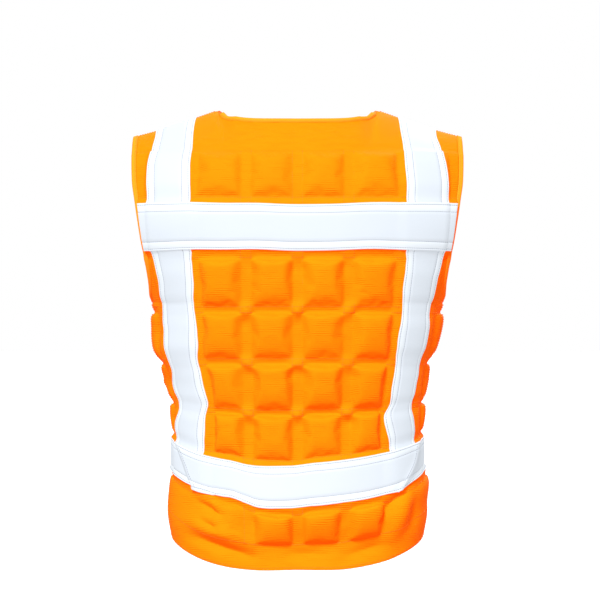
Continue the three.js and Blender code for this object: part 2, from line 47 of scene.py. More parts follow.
# The vest as cut: the sizes and sections of the part's own solids, with its seams all but closed
vest = {
    "backLength": 611.0, "chestHalfWidth": 187.0, "backDepth": 119.0, "frontDepth": 112.0,
    "roundness": 2.25, "hemRise": 42.0, "hemCurve": 3.2, "cloth": 3.0, "seamGap": 0.06, "seamReach": 0.15,
    "shoulderHalfWidth": 215.0, "shoulderDrop": 40.0, "shoulderArch": 150.0, "archRoundness": 1.85,
    "neckHalfWidth": 105.0, "neckRoot": 20.0, "backNeckDrop": 21.0, "frontNeckDrop": 128.0,
    "backNeckSquareness": 6.0, "frontNeckCurve": 1.25, "armholeDrop": 251.0,
    "armholeReach": 0.63, "armholeStraight": 0.42, "armholeCurve": 2.2,
}
quilting = {
    "rowPitch": 66.6, "columnPitch": 65.5, "topDrop": 68.43, "rows": 8, "lowRowHeight": 46.6,
    "columnChannel": 13.0, "rowChannel": 9.0, "pillowHeight": 10.0,
}
tape = {"width": 60.0, "thickness": 1.2, "offset": 170.0, "bed": 4.0, "bedFade": 7.5, "gap": 0.3}
binding = {"width": 7.0, "proud": 0.8, "gap": 0.4}
zipper = {"width": 16.0, "chain": 6.0, "thickness": 1.8}

# Shares of the sizes above, at each share of the back's length. The dip is a share of the hem's rise.
sections = [
    {"drop": 0.0, "width": 1.0, "back": 0.96, "front": 0.86, "dip": 0.0, "quilt": 1.0, "tape": 0.924},
    {"drop": 0.14, "width": 1.0, "back": 0.98, "front": 0.93, "dip": 0.0, "quilt": 1.0, "tape": 0.966},
    {"drop": 0.22, "width": 1.0, "back": 1.0, "front": 0.98, "dip": 0.0, "quilt": 1.0, "tape": 0.98},
    {"drop": 0.3, "width": 1.0, "back": 1.0, "front": 1.0, "dip": 0.0, "quilt": 1.0, "tape": 0.975},
    {"drop": 0.36, "width": 1.0, "back": 0.985, "front": 1.0, "dip": 0.0, "quilt": 1.0, "tape": 0.96},
    {"drop": 0.42, "width": 1.0, "back": 0.965, "front": 0.98, "dip": 0.0, "quilt": 1.0, "tape": 0.945},
    {"drop": 0.46, "width": 0.985, "back": 0.95, "front": 0.965, "dip": 0.0, "quilt": 0.995, "tape": 0.94},
    {"drop": 0.51, "width": 0.945, "back": 0.925, "front": 0.95, "dip": 0.0, "quilt": 0.985, "tape": 0.925},
    {"drop": 0.59, "width": 0.875, "back": 0.87, "front": 0.92, "dip": 0.08, "quilt": 0.965, "tape": 0.88},
    {"drop": 0.68, "width": 0.857, "back": 0.8, "front": 0.9, "dip": 0.4, "quilt": 0.95, "tape": 0.845},
    {"drop": 0.77, "width": 0.845, "back": 0.79, "front": 0.9, "dip": 0.78, "quilt": 0.945, "tape": 0.85},
    {"drop": 0.85, "width": 0.845, "back": 0.825, "front": 0.91, "dip": 0.95, "quilt": 0.945, "tape": 0.86},
    {"drop": 0.9, "width": 0.88, "back": 0.86, "front": 0.93, "dip": 1.0, "quilt": 0.945, "tape": 0.865},
    {"drop": 0.95, "width": 0.893, "back": 0.85, "front": 0.93, "dip": 1.0, "quilt": 0.945, "tape": 0.865},
    {"drop": 1.0, "width": 0.865, "back": 0.82, "front": 0.91, "dip": 1.0, "quilt": 0.945, "tape": 0.865},
]
# How far the worn cloth has ridden up from where it was cut, at each drop
settled = [
    {"drop": 0.0, "lift": 0.0}, {"drop": 50.0, "lift": 3.5}, {"drop": 75.0, "lift": 6.0},
    {"drop": 138.0, "lift": 7.6}, {"drop": 200.0, "lift": 9.0}, {"drop": 207.0, "lift": 4.0},
    {"drop": 265.0, "lift": 1.6}, {"drop": 397.0, "lift": 1.6}, {"drop": 470.0, "lift": 0.5},
    {"drop": 531.0, "lift": 4.5}, {"drop": 577.0, "lift": 6.5}, {"drop": 611.0, "lift": 8.5},
]
# Below the chest it has ridden up less towards the sides
settledAside = {"less": 0.6, "from": 210.0, "over": 60.0}
# How far the yoke has sunk on to the shoulders along its top edge, at each distance from the centre line
sunk = [
    {"out": 0.0, "sink": 7.0}, {"out": 60.0, "sink": 6.6}, {"out": 80.0, "sink": 7.4},
    {"out": 90.0, "sink": 11.2}, {"out": 97.0, "sink": 12.8}, {"out": 105.0, "sink": 9.5},
    {"out": 160.0, "sink": 9.0}, {"out": 215.0, "sink": 6.5},
]
# It has sunk above this drop only, more and more over the next millimetres upwards
sunkAbove = {"drop": 75.0, "over": 55.0}
# How far out the armhole's edge lies, from the shoulder down to the armpit
armhole = [
    {"down": 0.0, "out": 1.0}, {"down": 0.15, "out": 1.02}, {"down": 0.3, "out": 0.97},
    {"down": 0.42, "out": 0.8}, {"down": 0.55, "out": 0.6}, {"down": 0.7, "out": 0.36},
    {"down": 0.82, "out": 0.1}, {"down": 0.92, "out": 0.0}, {"down": 1.0, "out": 0.0},
]

bindingInset = binding["width"] + binding["gap"]
armpitDrop = vest["armholeDrop"] + bindingInset
edgeHalfWidth = vest["shoulderHalfWidth"] - bindingInset
tapeRowInset = (quilting["rowPitch"] - tape["width"]) / 2
quiltBottom = quilting["topDrop"] + 7 * quilting["rowPitch"] + quilting["lowRowHeight"]
waistTapeTop = quilting["topDrop"] + 6 * quilting["rowPitch"] + tapeRowInset


def mix(a, b, t):
    return a + (b - a) * t


def smooth(t):
    t = np.clip(t, 0, 1)
    return t * t * (3 - 2 * t)


def along(table, key, column, at):
    # A smooth curve through a table's rows, without overshoot
    k = np.array([row[key] for row in table])
    v = np.array([row[column] for row in table])
    h = np.diff(k)
    s = np.diff(v) / h
    m = np.concatenate([s[:1], np.zeros(len(k) - 2), s[-1:]])
    product = s[:-1] * s[1:]
    total = np.where(product > 0, s[:-1] + s[1:], 1)
    m[1:-1] = np.where(product > 0, 2 * product / total, 0)
    at = np.clip(np.asarray(at, float), k[0], k[-1])
    i = np.clip(np.searchsorted(k, at, side="right") - 1, 0, len(k) - 2)
    t = (at - k[i]) / h[i]
    low = v[i] * (1 + 2 * t) * (1 - t) ** 2 + m[i] * h[i] * t * (1 - t) ** 2
    return low + v[i + 1] * t * t * (3 - 2 * t) - m[i + 1] * h[i] * t * t * (1 - t)


def sectionAt(column, drop):
    return along(sections, "drop", column, np.asarray(drop) / vest["backLength"])


def seamHalfWidth(drop):
    return vest["chestHalfWidth"] * sectionAt("width", drop)


def edgeAt(drop):
    drop = np.asarray(drop, float)
    down = np.clip((drop - vest["shoulderDrop"]) / (armpitDrop - vest["shoulderDrop"]), 0, 1)
    side = mix(seamHalfWidth(armpitDrop), edgeHalfWidth, along(armhole, "down", "out", down))
    return np.where(drop >= armpitDrop, seamHalfWidth(drop), side)


def halfWidthAt(drop):
    drop = np.asarray(drop, float)
    start = mix(vest["shoulderDrop"], armpitDrop, vest["armholeStraight"])
    low = np.clip((drop - start) / (armpitDrop - start), 0, 1)
    curve = vest["armholeCurve"]
    reach = vest["armholeReach"] * (1 - low ** curve) ** (1 / curve)
    r = vest["roundness"]
    return np.where(drop >= armpitDrop, seamHalfWidth(drop), edgeAt(drop) / (1 - reach ** r) ** (1 / r))


def ridge(x):
    behind = vest["neckRoot"] * (1 - (x / vest["neckHalfWidth"]) ** 2)
    span = vest["shoulderHalfWidth"] - vest["neckHalfWidth"]
    beyond = -vest["shoulderDrop"] * (x - vest["neckHalfWidth"]) / span
    return np.where(x < vest["neckHalfWidth"], behind, beyond)


def faceDepth(face, drop):
    return vest[face + "Depth"] * sectionAt(face, drop)


def standOff(face, x, z):
    r = vest["roundness"]
    across = np.clip(x / halfWidthAt(-z), 0, 1)
    base = faceDepth(face, -z) * (1 - across ** r) ** (1 / r)
    arch = vest["shoulderArch"]
    climb = np.clip((z - ridge(x) + arch) / arch, 0, 1)
    a = vest["archRoundness"]
    sign = -1 if face == "back" else 1
    return sign * (vest["seamGap"] / 2 + base * (1 - climb ** a) ** (1 / a))


def neckEdge(face, x):
    share = np.clip(x / vest["neckHalfWidth"], 0, 1)
    if face == "back":
        return -vest["backNeckDrop"] * (1 - share ** vest["backNeckSquareness"])
    return -vest["frontNeckDrop"] * (1 - share ** vest["frontNeckCurve"])


def quiltRows(face):
    rows = []
    for i in range(quilting["rows"]):
        top = quilting["topDrop"] + i * quilting["rowPitch"]
        bottom = quiltBottom if i == quilting["rows"] - 1 else top + quilting["rowPitch"]
        taped = (i == 1 and face == "back") or i == 6
        inset = tapeRowInset if taped else quilting["rowChannel"] / 2
        if face == "back" or i > 0:
            rows.append({"index": i, "taped": taped, "top": top + inset, "bottom": bottom - inset})
    return rows


# How finely each face is drawn: steps between its named lines and in each of its rows
mesh = {
    "stepsAcross": [2, 13, 3, 7, 5, 1, 9, 2, 6], "pillowSteps": 16, "crowding": 1.35, "tapeSteps": 9,
    "tailSteps": 11, "yokeSteps": 18,
}
lineNames = ["start", "first", "seamIn", "seamOut", "neck", "tapeNear", "tapeIn", "tapeOut", "side", "edge"]
lineColumn = dict(zip(lineNames, np.concatenate([[0], np.cumsum(mesh["stepsAcross"])])))
lastColumn = lineColumn["edge"]


def stopsAt(face, drop, edge):
    half = quilting["columnChannel"] / 2
    quilt = sectionAt("quilt", drop)
    middle = tape["offset"] * sectionAt("tape", drop)
    inner, outer = middle - tape["width"] / 2, middle + tape["width"] / 2
    start = 0 if face == "back" else zipper["width"] / 2 + tape["gap"]
    first = half if face == "back" else start + 4
    seam = quilting["columnPitch"] * quilt
    return np.array([start, first, seam - half, seam + half, vest["neckHalfWidth"] * quilt, inner - half,
                     inner, outer, mix(outer, edge, 0.25), edge])


def spread(stops):
    # The lines between the stops, evenly spaced
    out = [stops[:1]]
    for i, steps in enumerate(mesh["stepsAcross"]):
        out.append(stops[i] + (stops[i + 1] - stops[i]) * np.arange(1, steps + 1) / steps)
    return np.concatenate(out)


def dropLines(face):
    drops = list(np.linspace(vest["backLength"], quiltBottom, mesh["tailSteps"]))
    for row in reversed(quiltRows(face)):
        crowding = 1 if row["taped"] else mesh["crowding"]
        share = np.linspace(0, 1, mesh["tapeSteps"] if row["taped"] else mesh["pillowSteps"]) ** crowding
        drops += list(mix(row["bottom"], row["top"], share))
        if not row["taped"]:
            drops.append(row["top"] + 1.8)
        channel = row["top"] - quilting["rowChannel"] / 2
        drops += [channel] if row["taped"] else [channel, row["top"] - quilting["rowChannel"] * 0.85]
    near = [armpitDrop - lift for lift in (0, 1.5, 4, 8, 13, 19)]
    drops = [d for d in drops if min(abs(d - n) for n in near) > 1.6] + near
    first = quiltRows(face)[0]["top"]
    return np.array(sorted({round(d, 4) for d in drops if d >= first}, reverse=True))


def halfFace(face):
    # Rows from the hem to the top edge: half widths, heights, drops, and distances round
    drops = dropLines(face)
    r = vest["roundness"]
    angle = np.linspace(0, math.pi / 2, 181)
    xs, zs, ds, ls = [], [], [], []
    for drop in drops:
        wide, deep = float(halfWidthAt(drop)), float(faceDepth(face, drop))
        px = wide * np.sin(angle) ** (2 / r)
        py = deep * np.abs(np.cos(angle)) ** (2 / r)
        length = np.concatenate([[0], np.cumsum(np.hypot(np.diff(px), np.diff(py)))])
        edge = float(np.interp(edgeAt(drop), px, length))
        places = spread(stopsAt(face, drop, edge))
        x = np.interp(places, length, px)
        x[-1] = edgeAt(drop)
        dip = vest["hemRise"] * sectionAt("dip", drop)
        xs.append(x)
        below = smooth((drop - settledAside["from"]) / settledAside["over"])
        rise = along(settled, "drop", "lift", drop) * (1 - settledAside["less"] * below * places / edge)
        zs.append(rise - drop + dip * (1 - (1 - (places / edge) ** vest["hemCurve"]) ** 2))
        ds.append(np.full_like(x, drop))
        ls.append(places)
    arch = vest["shoulderArch"]
    top = spread(stopsAt(face, 0, edgeHalfWidth))
    x0, z0 = xs[-1], zs[-1]
    toNeck = np.arange(len(top)) < lineColumn["neck"]
    for step in range(1, mesh["yokeSteps"] + 1):
        t = step / mesh["yokeSteps"]
        x = mix(x0, top, t)
        for _ in range(5):
            foot = ridge(x) - arch
            summit = np.where(toNeck, neckEdge(face, x), ridge(x))
            low = np.arcsin(np.clip((z0 - foot) / arch, 0, 1))
            high = np.arcsin(np.clip((summit - foot) / arch, 0, 1))
            z = foot + arch * np.sin(mix(low, high, t))
            x[-1] = edgeAt(-z[-1])
        xs.append(x)
        zs.append(z)
        ds.append(-z)
        ls.append(mix(ls[len(drops) - 1], top, t))
    x, z, drop, length = (np.array(v) for v in (xs, zs, ds, ls))
    z = z - along(sunk, "out", "sink", x) * smooth((sunkAbove["drop"] - drop) / sunkAbove["over"])
    return {"face": face, "x": x, "z": z, "drop": drop, "length": length,
            "y": standOff(face, x, -drop), "torsoRows": len(drops)}


# How far the cloth has ridden up from the waist down, at places across the back: at the two edges of the
# waist tape, at the lowest crease and at the hem
rideUp = [
    {"at": -158.0, "tapeTop": 4.5, "tapeLow": 12.2, "crease": 7.5, "hem": 1.0},
    {"at": -109.0, "tapeTop": 6.0, "tapeLow": 13.8, "crease": 7.5, "hem": 1.0},
    {"at": -85.0, "tapeTop": 6.5, "tapeLow": 14.5, "crease": 7.0, "hem": 0.8},
    {"at": -65.0, "tapeTop": 4.2, "tapeLow": 10.0, "crease": 4.0, "hem": 0.3},
    {"at": -48.0, "tapeTop": 3.0, "tapeLow": 5.5, "crease": 1.5, "hem": 0.0},
    {"at": -10.0, "tapeTop": 2.0, "tapeLow": 3.2, "crease": 1.4, "hem": 0.0},
    {"at": 26.0, "tapeTop": 7.4, "tapeLow": 8.5, "crease": 2.5, "hem": 0.0},
    {"at": 51.0, "tapeTop": 9.4, "tapeLow": 10.6, "crease": 3.0, "hem": 0.0},
    {"at": 96.0, "tapeTop": 10.6, "tapeLow": 11.2, "crease": 7.4, "hem": 1.0},
    {"at": 120.0, "tapeTop": 9.6, "tapeLow": 9.6, "crease": 8.0, "hem": 1.0},
    {"at": 158.0, "tapeTop": 6.0, "tapeLow": 12.0, "crease": 8.0, "hem": 1.0},
]
rideDrops = {
    "start": 380.0, "tapeTop": waistTapeTop, "tapeLow": waistTapeTop + tape["width"],
    "crease": 577.0, "hem": 611.0,
}
# The flanks also stand out a little where the padding pushes them
flankBulge = [
    {"drop": 0.0, "left": 0.0, "right": 0.0}, {"drop": 285.0, "left": 0.0, "right": 0.0},
    {"drop": 325.0, "left": 8.0, "right": 0.0}, {"drop": 372.0, "left": 0.0, "right": 0.0},
    {"drop": 520.0, "left": 0.0, "right": 0.0}, {"drop": 545.0, "left": 0.0, "right": 5.0},
    {"drop": 575.0, "left": 0.0, "right": 0.0}, {"drop": 611.0, "left": 0.0, "right": 0.0},
]
flank = {"from": 90.0, "over": 50.0}


def rideAndBulge(p, drop):
    x = p[..., 0]
    lift, above = np.zeros_like(x), 0
    keys = list(rideDrops)
    for before, key in zip(keys, keys[1:]):
        here = along(rideUp, "at", key, x)
        share = np.clip((drop - rideDrops[before]) / (rideDrops[key] - rideDrops[before]), 0, 1)
        lift = lift + (here - above) * share
        above = here
    p[..., 2] += lift
    p[..., 0] -= along(flankBulge, "drop", "left", drop) * smooth((-x - flank["from"]) / flank["over"])
    p[..., 0] += along(flankBulge, "drop", "right", drop) * smooth((x - flank["from"]) / flank["over"])


# Folds in the loose cloth below the waist tape: where each starts and ends on the back, in distance across
# and height, how wide it is and how far it stands out or is drawn in
folds = [
    {"fromX": -50, "fromZ": -576, "toX": 118, "toZ": -568, "width": 42, "height": -15.0},
    {"fromX": -134, "fromZ": -541, "toX": -62, "toZ": -568, "width": 14, "height": 8.0},
    {"fromX": -134, "fromZ": -559, "toX": -60, "toZ": -585, "width": 11, "height": -7.5},
    {"fromX": -128, "fromZ": -505, "toX": -100, "toZ": -520, "width": 8, "height": 4.0},
    {"fromX": -124, "fromZ": -514, "toX": -98, "toZ": -530, "width": 6, "height": -4.5},
    {"fromX": -120, "fromZ": -532, "toX": -98, "toZ": -541, "width": 7, "height": 3.5},
    {"fromX": -119, "fromZ": -540, "toX": -100, "toZ": -550, "width": 6, "height": -3.5},
    {"fromX": 136, "fromZ": -500, "toX": 104, "toZ": -535, "width": 9, "height": -5.5},
    {"fromX": 140, "fromZ": -508, "toX": 122, "toZ": -562, "width": 14, "height": 8.0},
    {"fromX": 150, "fromZ": -512, "toX": 146, "toZ": -552, "width": 8, "height": -4.0},
    {"fromX": 62, "fromZ": -588, "toX": 116, "toZ": -570, "width": 10, "height": -4.0},
    {"fromX": -12, "fromZ": -583, "toX": 34, "toZ": -584, "width": 10, "height": -3.5},
]
foldsFade = 22.0  # over this distance from the side seams the folds die away


def foldLift(points):
    lift = np.zeros(points.shape[:-1])
    for fold in folds:
        a, b = np.array([fold["fromX"], fold["fromZ"]]), np.array([fold["toX"], fold["toZ"]])
        flat = points[..., [0, 2]] - a
        run = b - a
        t = np.clip(flat @ run / (run @ run), 0, 1)
        away = np.linalg.norm(flat - t[..., None] * run, axis=-1)
        taper = np.sin(np.pi * np.clip(0.12 + 0.76 * t, 0, 1))
        lift += fold["height"] * taper * np.exp(-(away / fold["width"]) ** 2 * 2)
    return lift


def outwards(p, face):
    # Unit directions out of the cloth at each point of a grid
    across = np.empty_like(p)
    across[:, 1:-1] = p[:, 2:] - p[:, :-2]
    across[:, 0], across[:, -1] = p[:, 1] - p[:, 0], p[:, -1] - p[:, -2]
    up = np.empty_like(p)
    up[1:-1] = p[2:] - p[:-2]
    up[0], up[-1] = p[1] - p[0], p[-1] - p[-2]
    n = np.cross(across, up) * (1 if face == "back" else -1)
    onSeam = np.abs(p[..., 1]) < 0.9 * vest["seamGap"]
    n[..., 1] = np.where(onSeam, 0, n[..., 1])
    return n / np.linalg.norm(n, axis=-1, keepdims=True)


def windowed(value, low, high, fade):
    # 1 between low and high, falling to 0 over the fade on either side
    return smooth((value - low) / fade + 1) * smooth((high - value) / fade + 1)


def describe(grid):
    # What lies at each point: its pillow's number and its place in it, and the tapes' bed
    face, drop, length = grid["face"], grid["drop"], grid["length"]
    columns = np.arange(length.shape[1])
    stop = {name: length[:, lineColumn[name]][:, None] for name in lineNames}
    p = np.full_like(length, -1.0)
    kind = np.zeros(length.shape, int)
    spans = [("first", "seamIn"), ("seamOut", "tapeNear"), ("side", "edge")]
    for number, (low, high) in enumerate(spans, 1):
        inside = (columns > lineColumn[low]) & ((columns < lineColumn[high]) | (high == "edge"))
        share = (length - stop[low]) / (stop[high] - stop[low])
        p = np.where(inside, share, p)
        kind = np.where(inside, number, kind)
    q = np.full_like(drop, -1.0)
    row = np.full(drop.shape, -1)
    across = np.zeros_like(drop)
    rowShare = np.zeros_like(drop)
    for r in quiltRows(face):
        share = (drop - r["top"]) / (r["bottom"] - r["top"])
        here = (share > 1e-4) & (share < 1 - 1e-4)
        if r["taped"]:
            across = np.maximum(across, windowed(drop, r["top"], r["bottom"], tape["bedFade"]))
        else:
            q = np.where(here, share, q)
            row = np.where(here, r["index"], row)
            rowShare = np.where(here, smooth(np.minimum(share, 1 - share) / 0.3), rowShare)
    free = (kind > 0) & (row >= 0)
    free &= ~((kind == 3) & ((drop < armpitDrop + 2) | (row == 7) | (row == 0)))
    inTape = windowed(length, stop["tapeIn"], stop["tapeOut"], quilting["columnChannel"] / 2)
    inTape = inTape * ((drop < waistTapeTop) & (drop > quilting["topDrop"]))
    bed = tape["bed"] * np.maximum(across, inTape * mix(0.5, 1.0, rowShare))
    yoke = smooth((drop - quilting["topDrop"] + 14) / 14)
    grid.update(p=p, q=q, kind=kind, row=row, free=free, bed=bed * np.where(across > 0, 1, yoke))


def wholeFace(face):
    # The right half and its mirror image. The back is one cloth, and the front is two.
    half = halfFace(face)
    describe(half)
    p = np.stack([half["x"], half["y"], half["z"]], -1)
    mirrored = p[:, ::-1] * np.array([-1, 1, 1])
    grids = {}
    flip = {k: v[:, ::-1] for k, v in half.items() if isinstance(v, np.ndarray)}
    keys = list(flip)
    if face == "back":
        joined = {k: np.concatenate([flip[k][:, :-1], half[k]], 1) for k in keys}
        joined["p3"] = np.concatenate([mirrored[:, :-1], p], 1)
        joined["side"] = np.sign(joined["p3"][..., 0])
        grids["back"] = joined
    else:
        right = {k: half[k] for k in keys}
        right["p3"], right["side"] = p, np.ones_like(half["x"])
        left = dict(flip)
        left["p3"], left["side"] = mirrored, -np.ones_like(half["x"])
        grids["right"], grids["left"] = right, left
    for g in grids.values():
        g["face"], g["torsoRows"] = face, half["torsoRows"]
        rideAndBulge(g["p3"], g["drop"])
        g["out"] = outwards(g["p3"], face)
        if face == "back":
            inFrom = smooth((g["length"][:, :1] - g["length"]) / foldsFade)
            g["p3"] += g["out"] * (foldLift(g["p3"]) * inFrom)[..., None]
            g["out"] = outwards(g["p3"], face)
    return grids


def sample(grid, field, row, column):
    # A field of the grid between its points
    values = grid[field]
    row, column = np.broadcast_arrays(np.asarray(row, float), np.asarray(column, float))
    j = np.clip(row.astype(int), 0, values.shape[0] - 2)
    k = np.clip(column.astype(int), 0, values.shape[1] - 2)
    u, v = row - j, column - k
    if values.ndim == 3:
        u, v = u[..., None], v[..., None]
    low = values[j, k] * (1 - v) + values[j, k + 1] * v
    high = values[j + 1, k] * (1 - v) + values[j + 1, k + 1] * v
    return low * (1 - u) + high * u


def rowOf(grid, drop):
    drops = grid["drop"][:grid["torsoRows"], grid["drop"].shape[1] // 2]
    return np.interp(-np.asarray(drop, float), -drops, np.arange(len(drops)))


def columnOf(grid, side, line):
    # The whole grid's column for a line of its right half, which may lie between two lines
    line = np.asarray(line, float)
    if grid["face"] == "back":
        return lastColumn + side * line
    return line if side > 0 else lastColumn - line


backGrid = wholeFace("back")["back"]
fronts = wholeFace("front")
print("shape worked out:", "{} rows by {} lines on the back".format(*backGrid["p3"].shape[:2]))


def makeMesh(name, points, faces, material, uv=None, smoothShade=True):
    # points in millimetres; uv holds millimetres too, one pair for each point
    data = bpy.data.meshes.new(name)
    data.from_pydata([], [], [])
    count, loops = len(points), sum(len(f) for f in faces)
    data.vertices.add(count)
    data.vertices.foreach_set("co", (np.asarray(points, float) / 1000).ravel())
    data.loops.add(loops)
    data.polygons.add(len(faces))
    flat = np.fromiter((i for f in faces for i in f), int, loops)
    sizes = np.array([len(f) for f in faces])
    data.loops.foreach_set("vertex_index", flat)
    data.polygons.foreach_set("loop_start", np.concatenate([[0], np.cumsum(sizes)[:-1]]))
    data.polygons.foreach_set("use_smooth", np.full(len(faces), smoothShade))
    data.update(calc_edges=True)
    if uv is not None:
        layer = data.uv_layers.new(name="clothMap")
        layer.data.foreach_set("uv", (np.asarray(uv, float)[flat] / 1000).ravel())
    data.validate()
    obj = bpy.data.objects.new(name, data)
    scene.collection.objects.link(obj)
    if material is not None:
        data.materials.append(material)
    return obj


def gridFaces(rows, columns, start=0, flip=False):
    i = np.arange(rows - 1)[:, None] * columns + np.arange(columns - 1)[None] + start
    quads = np.stack([i, i + 1, i + columns + 1, i + columns], -1).reshape(-1, 4)
    return (quads[:, ::-1] if flip else quads).tolist()


def rimFaces(rows, columns, outerStart, innerStart, flip=False):
    # The walls between the borders of two grids of the same size
    low = np.arange(columns)
    right = np.arange(rows) * columns + columns - 1
    high = (rows - 1) * columns + np.arange(columns)[::-1]
    left = (np.arange(rows) * columns)[::-1]
    loop = np.concatenate([low[:-1], right[:-1], high[:-1], left[:-1]])
    after = np.roll(loop, -1)
    quads = np.stack([loop + outerStart, loop + innerStart, after + innerStart, after + outerStart], -1)
    return (quads[:, ::-1] if flip else quads).tolist()


def ringFaces(count, around, closed):
    # The skin over rings of points, each with the same number of them, with caps where it isn't closed
    faces = []
    for i in range(count if closed else count - 1):
        here, there = i * around, (i + 1) % count * around
        for k in range(around):
            m = (k + 1) % around
            faces.append([here + k, here + m, there + m, there + k])
    if not closed:
        faces += [list(range(around))[::-1], [(count - 1) * around + k for k in range(around)]]
    return faces


def mapOf(first, second, shape):
    # One pair for each point of a grid, from two distances
    return np.stack([np.broadcast_to(first, shape), np.broadcast_to(second, shape)], -1).reshape(-1, 2)


def distances(points):
    # How far along a line of points each one lies
    return np.concatenate([[0], np.cumsum(np.linalg.norm(np.diff(points, axis=0), axis=-1))])


def faceOutwards(obj):
    bm = bmesh.new()
    bm.from_mesh(obj.data)
    bmesh.ops.recalc_face_normals(bm, faces=bm.faces)
    bm.to_mesh(obj.data)
    bm.free()


# Each stage below makes its own material, so the one function that adds nodes comes first
def linear(hexText):
    channels = [int(hexText[i:i + 2], 16) / 255 for i in (1, 3, 5)]
    return tuple(c / 12.92 if c <= 0.04045 else ((c + 0.055) / 1.055) ** 2.4 for c in channels) + (1.0,)


def addNode(tree, kind, settings=None, inputs=None):
    # A node with its settings, and each of its inputs either a value or another node's output
    node = tree.nodes.new(kind)
    for key, value in (settings or {}).items():
        setattr(node, key, value)
    for key, value in (inputs or {}).items():
        if isinstance(value, bpy.types.NodeSocket):
            tree.links.new(value, node.inputs[key])
        else:
            node.inputs[key].default_value = value
    return node


def newMaterial(name):
    material = bpy.data.materials.new(name)
    material.use_nodes = True
    tree = material.node_tree
    tree.nodes.clear()
    return material, tree


def ribbedPolyester(name, settings):
    # Matt fluorescent polyester with fine weft ribs: bright and saturated, with almost no highlight.
    # A painted red glow, an emission of its own, lifts its shadows so that they turn red rather than brown.
    material, tree = newMaterial(name)
    cloth = addNode(tree, "ShaderNodeUVMap", {"uv_map": "clothMap"}).outputs["UV"]
    parts = addNode(tree, "ShaderNodeSeparateXYZ", None, {0: cloth})
    wander = addNode(tree, "ShaderNodeTexNoise", None, {"Vector": cloth, "Scale": 25.0, "Detail": 3.0})
    rib = addNode(tree, "ShaderNodeMath", {"operation": "MULTIPLY_ADD"},
                  {0: parts.outputs["Y"], 1: 2 * math.pi * 1000 / settings["ribPitch"],
                   2: addNode(tree, "ShaderNodeMath", {"operation": "MULTIPLY"},
                              {0: wander.outputs["Fac"], 1: 5.0}).outputs[0]})
    wave = addNode(tree, "ShaderNodeMath", {"operation": "SINE"}, {0: rib.outputs[0]})
    thread = addNode(tree, "ShaderNodeTexNoise", None, {"Vector": addNode(
        tree, "ShaderNodeMapping", None, {"Vector": cloth, "Scale": (500.0, 2600.0, 1.0)}).outputs[0],
        "Scale": 1.0, "Detail": 2.0})
    patches = addNode(tree, "ShaderNodeTexNoise", None, {"Vector": addNode(
        tree, "ShaderNodeMapping", None, {"Vector": cloth, "Scale": (45.0, 160.0, 1.0)}).outputs[0],
        "Scale": 1.0, "Detail": 2.0})
    shown = addNode(tree, "ShaderNodeMapRange", None,
                    {"Value": patches.outputs["Fac"], "From Min": 0.42, "From Max": 0.62, "To Min": 0.1})
    broken = addNode(tree, "ShaderNodeMath", {"operation": "MULTIPLY"},
                     {0: wave.outputs[0], 1: shown.outputs[0]})
    relief = addNode(tree, "ShaderNodeMath", {"operation": "MULTIPLY_ADD"},
                     {0: thread.outputs["Fac"], 1: 1.2, 2: broken.outputs[0]})
    bump = addNode(tree, "ShaderNodeBump", None,
                   {"Height": relief.outputs[0], "Strength": settings["ribStrength"], "Distance": 0.0004})
    broad = addNode(tree, "ShaderNodeTexNoise", None, {"Vector": cloth, "Scale": 9.0, "Detail": 4.0})
    tint = addNode(tree, "ShaderNodeMix", {"data_type": "RGBA"},
                   {"Factor": broad.outputs["Fac"], 6: linear(settings["shade"]),
                    7: linear(settings["colour"])})
    rough = addNode(tree, "ShaderNodeMapRange", None,
                    {"Value": thread.outputs["Fac"], "To Min": settings["roughness"] - 0.06,
                     "To Max": settings["roughness"] + 0.06})
    shader = addNode(tree, "ShaderNodeBsdfPrincipled", None,
                     {"Base Color": tint.outputs[2], "Roughness": rough.outputs[0], "Normal": bump.outputs[0],
                      "IOR": 1.5, "Specular IOR Level": settings["specular"],
                      "Emission Color": linear(settings["glow"]),
                      "Emission Strength": settings["paintedGlowStrength"],
                      "Sheen Weight": 0.05, "Sheen Roughness": 0.6,
                      "Sheen Tint": linear(settings["colour"])})
    addNode(tree, "ShaderNodeOutputMaterial", None, {"Surface": shader.outputs[0]})
    return material


# Ribs any finer than these wouldn't show in the main view
# The glow is a painted one, a red emission that lifts the shadows, and the binding below has it too
shellCloth = {
    "colour": "#FF8C00", "shade": "#FF8400", "glow": "#FF2A00", "paintedGlowStrength": 0.55,
    "ribPitch": 2.4, "ribStrength": 0.6, "roughness": 0.85, "specular": 0.08,
}
shell = ribbedPolyester("ribbedOrangePolyester", shellCloth)
bindingCloth = ribbedPolyester("orangeBindingTape", dict(
    shellCloth, colour="#FF9E1E", shade="#FF951A", ribPitch=1.4, ribStrength=0.2))

# Quilted panels. Each outer cloth starts on the solids' channels, with its pillows raised and cut a little
# large, and a cloth simulation blows the pillows up between channels that hold still.
padding = {
    "start": 11.0, "flatness": 2.8, "sharpness": 3.0, "fullest": 0.26, "lowFullest": 0.16, "rise": 0.42,
    "bend": 1.7, "fall": 0.66, "sides": 0.4, "slackCell": 0.35, "slack": 0.02, "pressure": 1.4,
    "gravity": 0.1, "frames": 16, "cap": 12.5, "drift": 3.5, "variety": 0.14, "seed": 31,
}
yokePillows = {"height": 0.68, "flatness": 2.4, "rise": 1.0}


